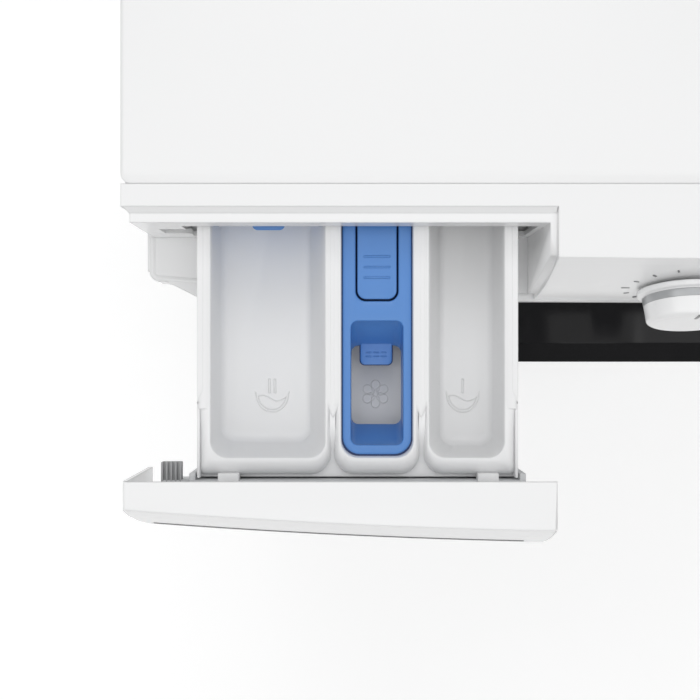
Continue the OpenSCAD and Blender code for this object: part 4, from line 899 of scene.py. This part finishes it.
def build_fascia():
    skinned_copy("fascia", "gloss_white", 12)
    # slanted step behind the drawer front's top, and the rounded rim of the pocket's floor
    step = [(-31, 0.9), (-31, 0.02), (-30.6, 0.05), (-30.3, 0.25), (-27.6, 3.3),
            (-27.2, 3.55), (-26.6, 3.62), (-26.6, 4), (-31, 4)]
    ends = [[(x + lean * (m + 31), m, FASCIA_TOP - drop) for m, drop in step] for x,
            lean in ((-298.9, 0.88), (-72, 0))]
    rim = []
    for inset, height in ((0.7, -2.5), (0.35, -0.7), (0.6, 0.1), (1.2, 0.45), (2.0, 0.5), (2.8, 0.35),
                          (3.6, 0.0), (4.2, -0.6)):
        line = front_line(-298 + inset, -76, 88, inset, 6 - min(inset, 4), -21.5, 88)
        rim.append([(x, m, FASCIA_TOP - 88 + height) for x, m in line])
    piece("fascia_trim", [loft(ends), loft(rim, caps=(False, False), ring_closed=False)], "cabinet",
          "gloss_white")
    # knob with a skirt, a band, a pointer and a ring of ticks on the face
    knob = [
        face_turned(fillet([(0, 1.8), (28, 1.8), (28, 4.6), (25, 5.2), (23.5, 19), (21, 20.4), (0, 20.4)],
                           [0, 0.6, 0.8, 0.4, 2.2, 1.2, 0]), KNOB_X, CONTROL_DOWN),
        face_turned([(0, -14), (5, -14), (5, 3), (0, 3)], KNOB_X, CONTROL_DOWN, 32),
    ]
    piece("knob_cap", knob, "knob", "gloss_white", ["program_knob"])
    place = face_frame(KNOB_X, CONTROL_DOWN)
    piece("knob_pointer", face_plate(KNOB_X, CONTROL_DOWN, (-0.9, 0.9), (12, 21.5), (20.2, 20.6), 0.8, 0.1),
          "knob", "mark")
    band = face_turned(fillet([(24.9, 5.6), (25.25, 6.0), (24.6, 10), (24.2, 10)], [0, 0.1, 0.1, 0]),
                       KNOB_X, CONTROL_DOWN)
    piece("knob_band", band, "knob", "silver")
    ticks = []
    for k in range(16):
        a = math.radians(90 + 22.5 * k)
        far = 35.5 if k % 4 else 37.0
        ends = [(r * math.cos(a), r * math.sin(a)) for r in (32.5, far)]
        lift = 0.35 - (32.5 * math.sin(a)) ** 2 / 704
        ticks.append(relief_line([ends[0], ends[1]], 0.8, lift - 0.8, lift - 0.1, place))
    piece("program_ticks", ticks, "cabinet", "mark")
    # start and option buttons
    ring = fillet([(0, -9), (11, -9), (11, 1.0), (10.3, 1.6), (8.6, 1.5), (0, 1.3)], [0, 0, 0.4, 0.5, 0.6, 0])
    piece("start_cap", face_turned(ring, START_X, CONTROL_DOWN), "start", "silver", ["start_button"])
    place = face_frame(START_X, CONTROL_DOWN)
    triangle = [(-2.6, -3), (-2.6, 3), (2.8, 0), (-2.6, -3)]
    piece("start_symbol", relief_line(triangle, 0.7, 1.2, 1.55, place), "start", "mark")
    for name, x, body in (("option_button_left", 184, "option_left"),
                          ("option_button_right", 212, "option_right")):
        cap = face_plate(x, CONTROL_DOWN, (-10, 10), (-5.5, 5.5), (-9, 1.6), 1.6, 0.6)
        piece(name + "_cap", cap, body, "silver", [name])
        place = face_frame(x, CONTROL_DOWN)
        dots = [relief_line([(u - 0.8, 0), (u + 0.8, 0)], 0.8, 1.4, 1.75,
                            place) for u in ((-3, 0, 3) if x < 200 else (-1.8, 1.8))]
        piece(name + "_marks", dots, body, "mark")
        lamp = relief_line([(-1.6, 11), (1.6, 11)], 1.2, -1.0, 0.15, place)
        piece(name + "_lamp", lamp, "cabinet", "lit")
    # display with a time and a row of small lamps
    window = face_plate(DISPLAY_X, CONTROL_DOWN, (-48, 48), (-17, 17), (-3, 1.0), 3, 0.6)
    piece("display_glass", window, "cabinet", "gloss_black", ["display_window"])
    place_lit = face_frame(DISPLAY_X, CONTROL_DOWN)
    lifted = lambda u, v, w: place_lit(u, v, w + 1.0)
    shown = segment_digit(lifted, 14, "1") + segment_digit(lifted, 25, "2") + segment_digit(lifted, 36, "5")
    for v in (-3, 3):
        shown.append(relief_line([(22.6, v - 0.6), (22.6, v + 0.6)], 1.2, 0, 0.12, lifted))
    for i in range(5):
        shown.append(relief_line([(-40 + 9 * i, 8), (-36 + 9 * i, 8)], 1.0, 0, 0.12, lifted))
        shown.append(relief_line([(-40 + 9 * i, -7), (-40 + 9 * i + 2 + i % 3, -7)], 0.8, 0, 0.12, lifted))
    piece("display_marks", shown, "cabinet", "lit")


# ---------- Cabinet ----------


def build_cabinet():
    rings = []
    for side, front, z in ((1.2, 1.2, 832), (0.4, 0.4, 832.4), (0, 0, 833.2), (0, 0, 845.9),
                           (0, 0.1, 846.1), (0.3, 1.2, 846.5),
                           (0.7, 2.8, 847.2), (1.3, 4.8, 847.8), (2.2, 7, 848)):
        rings.append(outline((-299, 299), (-548, -42), (5, 5), z, (-side, -side, -front, -side)))
    top = loft(rings)
    piece("worktop_slab", top, "cabinet", "laminate", ["worktop"])
    for node in ("side_panel_left", "side_panel_right", "front_panel"):
        skinned_copy(node, "enamel")
    for node in ("rear_panel", "top_braces"):
        skinned_copy(node, "zinc")
    for node in ("base_pan", "control_module", "mains_gland", "door_lock", "damper_cylinders", "drain_pump"):
        skinned_copy(node, "dark")
    skinned_copy("dispenser_housing", "satin_white")
    skinned_copy("dispenser_cover", "light_grey")
    # feet with stepped pads
    for name, x, m in (("foot_front_left", -261, -42), ("foot_front_right", 261, -42),
                       ("foot_rear_left", -261, -510), ("foot_rear_right", 261, -510)):
        profile = fillet([(0, 0), (20, 0), (20, 7), (13, 12), (5, 12), (0, 12)], [0, 1.5, 1.5, 2, 0, 0])
        rings = []
        for i in range(40):
            a = 2 * math.pi * i / 40
            rings.append([(x + r * math.cos(a), m + r * math.sin(a), z) for r, z in profile])
        pad = loft(rings, loop=True)
        bmesh.ops.remove_doubles(pad, verts=pad.verts, dist=1e-4)
        body = "foot_" + "".join(w[0] for w in name.split("_")[1:])
        piece(name + "_pad", [pad, rod((x, m, 11), (x, m, 52), 4)], body, "dark", [name])
    skinned_copy("foot_locknuts", "bright")
    # rear screws with cross recesses, the recesses dark grey as painted shade
    screws, slots = [], []
    for x in (-269, -100, 100, 269):
        for z in (70, 820):
            head = fillet([(0, -548), (4.2, -548), (4, -549.6), (2.4, -550.2), (0, -550.2)],
                          [0, 0, 0.5, 0.5, 0])
            screws.append(turned(head, (x, z), steps=28))
            slots.append(soft_box((x - 2.2, x + 2.2), (-550.35, -549.9), (z - 0.4, z + 0.4), 0.1, 1))
            slots.append(soft_box((x - 0.4, x + 0.4), (-550.35, -549.9), (z - 2.2, z + 2.2), 0.1, 1))
    piece("rear_screw_heads", screws, "cabinet", "bright", ["cabinet_screws"])
    piece("rear_screw_recesses", slots, "cabinet", "groove")
    # transport bolt caps and stiffening beads on the rear panel
    caps = []
    for x in (-150, 150):
        for z in (310, 550):
            caps.append(turned(fillet([(0, -546), (8.5, -546), (8.5, -548.1), (13, -548.1), (12, -550),
                                       (0, -550)],
                                      [0, 0, 0, 0.8, 1, 0]), (x, z), steps=36))
    piece("transport_hole_caps", caps, "cabinet", "dark")
    beads = [soft_box((-115, 115), (-549.2, -547.5), (z - 7, z + 7), 1.5, 3) for z in range(200, 720, 130)]
    piece("rear_panel_beads", beads, "cabinet", "zinc")
    # threaded water inlet with its valve body and coil
    turns = 7
    thread = []
    for i in range(turns * 24 + 1):
        a = 2 * math.pi * i / 24
        m = -548.6 - 1.81 * i / 24
        c, s = math.cos(a), math.sin(a)
        thread.append([(INLET_X + r * c, m + dm, INLET_Z + r * s) for r,
                       dm in ((12.2, 0.8), (13.2, 0.15), (13.2, -0.15), (12.2, -0.8))])
    parts = [
        turned([(9.6, -533), (12.4, -533), (12.4, -562), (9.6, -562)], (INLET_X, INLET_Z), steps=48),
        loft(thread),
        turned([(0, -541), (10, -541), (10, -539), (0, -539)], (INLET_X, INLET_Z), steps=32),
        soft_box((-249, -209), (-534, -502), (744, 782), 2, 3),
    ]
    piece("water_valve", parts, "cabinet", "satin_white", ["inlet_valve"])
    coil = turned(fillet([(0, -502), (13, -502), (13, -484), (0, -484)], [0, 1, 1, 0]), (INLET_X, INLET_Z),
                  steps=36)
    piece("valve_coil", coil, "cabinet", "dark")
    # service flap with a finger scoop, and the filter's cap behind it
    flap = [soft_box((173, 277), (-1, 1.5), (49, 145), 0.7, 3),
            soft_box((213, 237), (1.2, 2.6), (136, 138.5), 0.5)]
    piece("service_flap_door", flap, "flap", "gloss_white", ["service_flap"])
    cap = [
        turned(fillet([(0, -24), (30, -24), (30, -15), (28, -14), (0, -14)], [0, 0.5, 0.8, 0.8, 0]),
               (225, 97), steps=64),
        soft_box((203, 247), (-14.5, -5), (93, 101), 1.5, 3),
    ]
    for k in range(24):
        a = 2 * math.pi * k / 24
        x, z = 225 + 29.6 * math.cos(a), 97 + 29.6 * math.sin(a)
        cap.append(rod((x, -22, z), (x, -15, z), 0.8, 8))
    piece("filter_grip", cap, "cap", "light_grey", ["filter_cap"])


# ---------- Door ----------


def build_door():
    p, inner = DOOR_PROUD, BOWL_R + 13
    skinned_copy("door_frame", "gloss_black", 24)
    disc = fillet([(0, p - 14), (90, p - 15.5), (inner - 0.5, p - 18.6), (inner - 0.5, p - 22),
                   (90, p - 18.5), (0, p - 17)],
                  [0, 20, 0.6, 0.4, 20, 0])
    piece("door_window_disc", turned(disc, steps=DOOR_STEPS), "door", "smoked", ["door_window"])
    bowl = fillet(
        [(159, 12), (149, 12), (144, 6), (112, -66), (98, -73), (0, -73), (0, -78), (104, -78), (117, -68),
         (149, 4), (151, 7), (159, 7)],
        [1, 3, 6, 10, 14, 0, 0, 16, 12, 3, 1, 1])
    piece("door_glass_bowl", turned(bowl, steps=DOOR_STEPS), "door", "glass", ["door_bowl"])
    skinned_copy("door_inner_ring", "silver", 30)
    for node in ("door_hinge", "latch_hook"):
        skinned_copy(node, "zinc")
    skinned_copy("door_hinge_arm", "alloy")
    edge, neck = 169.6, 162
    lip = BOWL_R + 3.5
    gasket = fillet(
        [(edge + 8, 0.3), (edge + 8, 4.6), (edge - 6, 4.6), (lip, -5), (lip, -8), (edge - 5.5, 2),
         (edge - 3, -1), (edge - 3, -29),
         (neck + 0.3, -37), (neck + 0.3, -56), (neck + 3.3, -56), (neck + 3.3, -36), (edge, -28), (edge,
                                                                                                   0.3)],
        [0.8, 2, 2, 1.4, 1.2, 1, 1, 3, 3, 0.5, 0.5, 2, 2, 0])
    piece("door_seal", turned(gasket, steps=DOOR_STEPS), "cabinet", "grey_rubber", ["door_gasket"])


# ---------- Wash unit ----------


def perforations(radius, m_range, rows, columns, finish):
    """Small dished holes round the drum's inside, one mesh for the drum's body."""
    sizes = {
        "Radius": radius / 1000, "Front": FRONT - m_range[1] / 1000, "Rear": FRONT - m_range[0] / 1000,
        "Rows": rows, "Columns": columns, "Hole": 0.0018, "Finish": finishes[finish],
    }
    group = bpy.data.node_groups.new("drum_perforations", "GeometryNodeTree")
    ids = {}
    for name, value in sizes.items():
        kind = "NodeSocket" + {int: "Int", float: "Float"}.get(type(value), "Material")
        ids[name] = group.interface.new_socket(name, in_out="INPUT", socket_type=kind).identifier
    group.interface.new_socket("Geometry", in_out="OUTPUT", socket_type="NodeSocketGeometry")
    t = Tree(group)
    source = t.add("NodeGroupInput")
    given = {name: Value(t, source.outputs[name]) for name in sizes}
    # each second row is turned by half a step
    index = Value(t, t.add("GeometryNodeInputIndex").outputs[0])
    row = (index / given["Columns"]).apply("FLOOR")
    column = index - row * given["Columns"]
    angle = (column + row.apply("MODULO", 2.0) * 0.5) / given["Columns"] * (2 * math.pi)
    place = t.add("CombineXYZ", None, {
        0: angle.apply("COSINE") * given["Radius"],
        1: given["Front"] + (given["Rear"] - given["Front"]) * ((row + 0.5) / given["Rows"]),
        2: angle.apply("SINE") * given["Radius"] + AXIS_Z / 1000,
    })
    spin = t.add("CombineXYZ", None, {1: math.pi / 2 - angle})
    line = t.add("GeometryNodeMeshLine", None, {"Count": given["Rows"] * given["Columns"]})
    move = t.add("GeometryNodeSetPosition", None, {"Geometry": line.outputs[0], "Position": place.outputs[0]})
    cup = t.add("GeometryNodeMeshCone", None, {
        "Vertices": 8, "Radius Bottom": given["Hole"], "Radius Top": given["Hole"] * 0.7, "Depth": 0.0006,
    })
    scatter = t.add("GeometryNodeInstanceOnPoints", None, {
        "Points": move.outputs[0], "Instance": cup.outputs["Mesh"], "Rotation": spin.outputs[0],
    })
    real = t.add("GeometryNodeRealizeInstances", None, {0: scatter.outputs[0]})
    paint = t.add("GeometryNodeSetMaterial", None, {"Geometry": real.outputs[0], "Material": given["Finish"]})
    t.add("NodeGroupOutput", None, {0: paint.outputs[0]})
    carrier = bpy.data.objects.new("hole_carrier", bpy.data.meshes.new("holes"))
    scene.collection.objects.link(carrier)
    mod = carrier.modifiers.new("holes", "NODES")
    mod.node_group = group
    for name, value in sizes.items():
        mod[ids[name]] = value
    baked = bpy.data.meshes.new_from_object(carrier.evaluated_get(bpy.context.evaluated_depsgraph_get()))
    bpy.data.objects.remove(carrier)
    holes = bpy.data.objects.new("drum_holes", baked)
    scene.collection.objects.link(holes)
    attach(holes, "drum")


def build_wash_unit():
    for node, finish in (
        ("tub_front", "tub"), ("tub_rear", "tub"), ("bearings", "bright"), ("counterweights",
                                                                            "iron"), ("motor", "iron"),
        ("damper_rods", "bright"), ("heater", "stainless"), ("drive_belt", "black_rubber"), ("motor_pulley",
                                                                                             "bright"),
        ("drum_spider", "alloy"), ("drum_pulley", "alloy"), ("suspension_springs", "bright"),
        ("fill_hose", "black_rubber"), ("sump_hose", "black_rubber"), ("pump_impeller", "satin_white"),
        ("drum", "stainless"),
    ):
        skinned_copy(node, finish)
    # the holes are dark grey cups: painted shade where the drum is pierced
    perforations(PERFORATION_R, (-366, -92), 22, 96, "groove")
    # lifters: tall rounded ridges
    ridges = []
    for start in (90, 210, 330):
        rings = []
        for k in range(13):
            m = -364.8 + 270.6 * k / 12
            ends = min(1.0, math.sin(math.pi * min(max((k + 0.25) / 12.5, 0.02), 0.98)) * 2.6)
            high = 45 * (0.35 + 0.65 * ends)
            ring = []
            for u, share in ((-26, 0), (-22, 0.12), (-15, 0.45), (-11, 0.8), (-7, 0.96), (0, 1), (7, 0.96),
                             (11, 0.8), (15, 0.45), (22, 0.12), (26, 0)):
                radius = math.sqrt(LIFTER_BASE_R**2 - u * u) - high * share - 0.3
                a = math.radians(start)
                ring.append((radius * math.cos(a) - u * math.sin(a), m,
                             AXIS_Z + radius * math.sin(a) + u * math.cos(a)))
            rings.append(ring)
        ridges.append(loft(rings))
    piece("lifter_ridges", ridges, "drum", "light_grey", ["drum_lifters"], smooth=60)


# ---------- Floor, lights and camera ----------


def build_studio():
    bpy.ops.mesh.primitive_plane_add(size=14, location=(0, 0, 0))
    floor = bpy.context.object
    floor.name = "studio_floor"
    ground = Finish("pale_studio_floor", Roughness=0.9)
    ground.shader.inputs["Emission Color"].default_value = (1, 1, 1, 1)
    ground.shader.inputs["Emission Strength"].default_value = 0.3
    ground.link(ground.blend(ground.noise(0.8, 2), (0.88, 0.88, 0.88, 1), (0.9, 0.9, 0.9, 1)), "Base Color")
    floor.data.materials.append(ground.material)
    world = bpy.data.worlds.new("studio")
    scene.world = world
    world.use_nodes = True
    world.node_tree.nodes["Background"].inputs["Color"].default_value = (1, 1, 1, 1)
    world.node_tree.nodes["Background"].inputs["Strength"].default_value = 0.42
    lights = (
        ("overhead_middle", (-0.18, -0.25, 3.4), (-0.18, -0.2, 0.85), 2.4, 12.5),
        ("overhead_left", (-1.85, -0.4, 3.0), (-0.18, -0.15, 0.85), 1.6, 9),
        ("overhead_right", (1.49, -0.4, 3.0), (-0.18, -0.15, 0.85), 1.6, 9),
        ("overhead_front", (-0.18, -1.85, 3.1), (-0.18, -0.15, 0.85), 1.5, 9),
        ("overhead_rear", (-0.18, 1.45, 3.1), (-0.18, -0.15, 0.85), 1.5, 14),
        ("front_fill", (0.4, -3.2, 1.2), (0, 0, 0.5), 2.2, 1),
        ("left_fill", (-3.0, -1.2, 1.2), (0, 0, 0.5), 1.8, 5),
        ("right_fill", (3.0, -0.8, 1.2), (0, 0, 0.5), 1.8, 5),
        ("rear_fill", (0.5, 3.2, 1.4), (0, 0, 0.5), 2.0, 6),
    )
    for name, place, aim, size, power in lights:
        data = bpy.data.lights.new(name, "AREA")
        data.shape, data.size, data.energy = "DISK", size, power
        lamp = bpy.data.objects.new(name, data)
        scene.collection.objects.link(lamp)
        lamp.location = place
        lamp.rotation_euler = (Vector(aim) - Vector(place)).to_track_quat("-Z", "Y").to_euler()
    cam = bpy.data.cameras.new("camera")
    cam.sensor_width, cam.lens, cam.shift_y = 36, 64.5, 0.0071
    cam.clip_start, cam.clip_end = 0.01, 50
    eye = bpy.data.objects.new("camera", cam)
    scene.collection.objects.link(eye)
    eye.location = (-0.18, FRONT - 0.047, (FASCIA_TOP + 650) / 1000)
    eye.rotation_euler = (0, 0, 0)
    scene.camera = eye
    scene.view_settings.view_transform = "Standard"


build_tray()
build_drawer_marks()
build_insert()
build_liquid_flap()
build_drawer_front()
build_fascia()
build_cabinet()
build_door()
build_wash_unit()
build_studio()
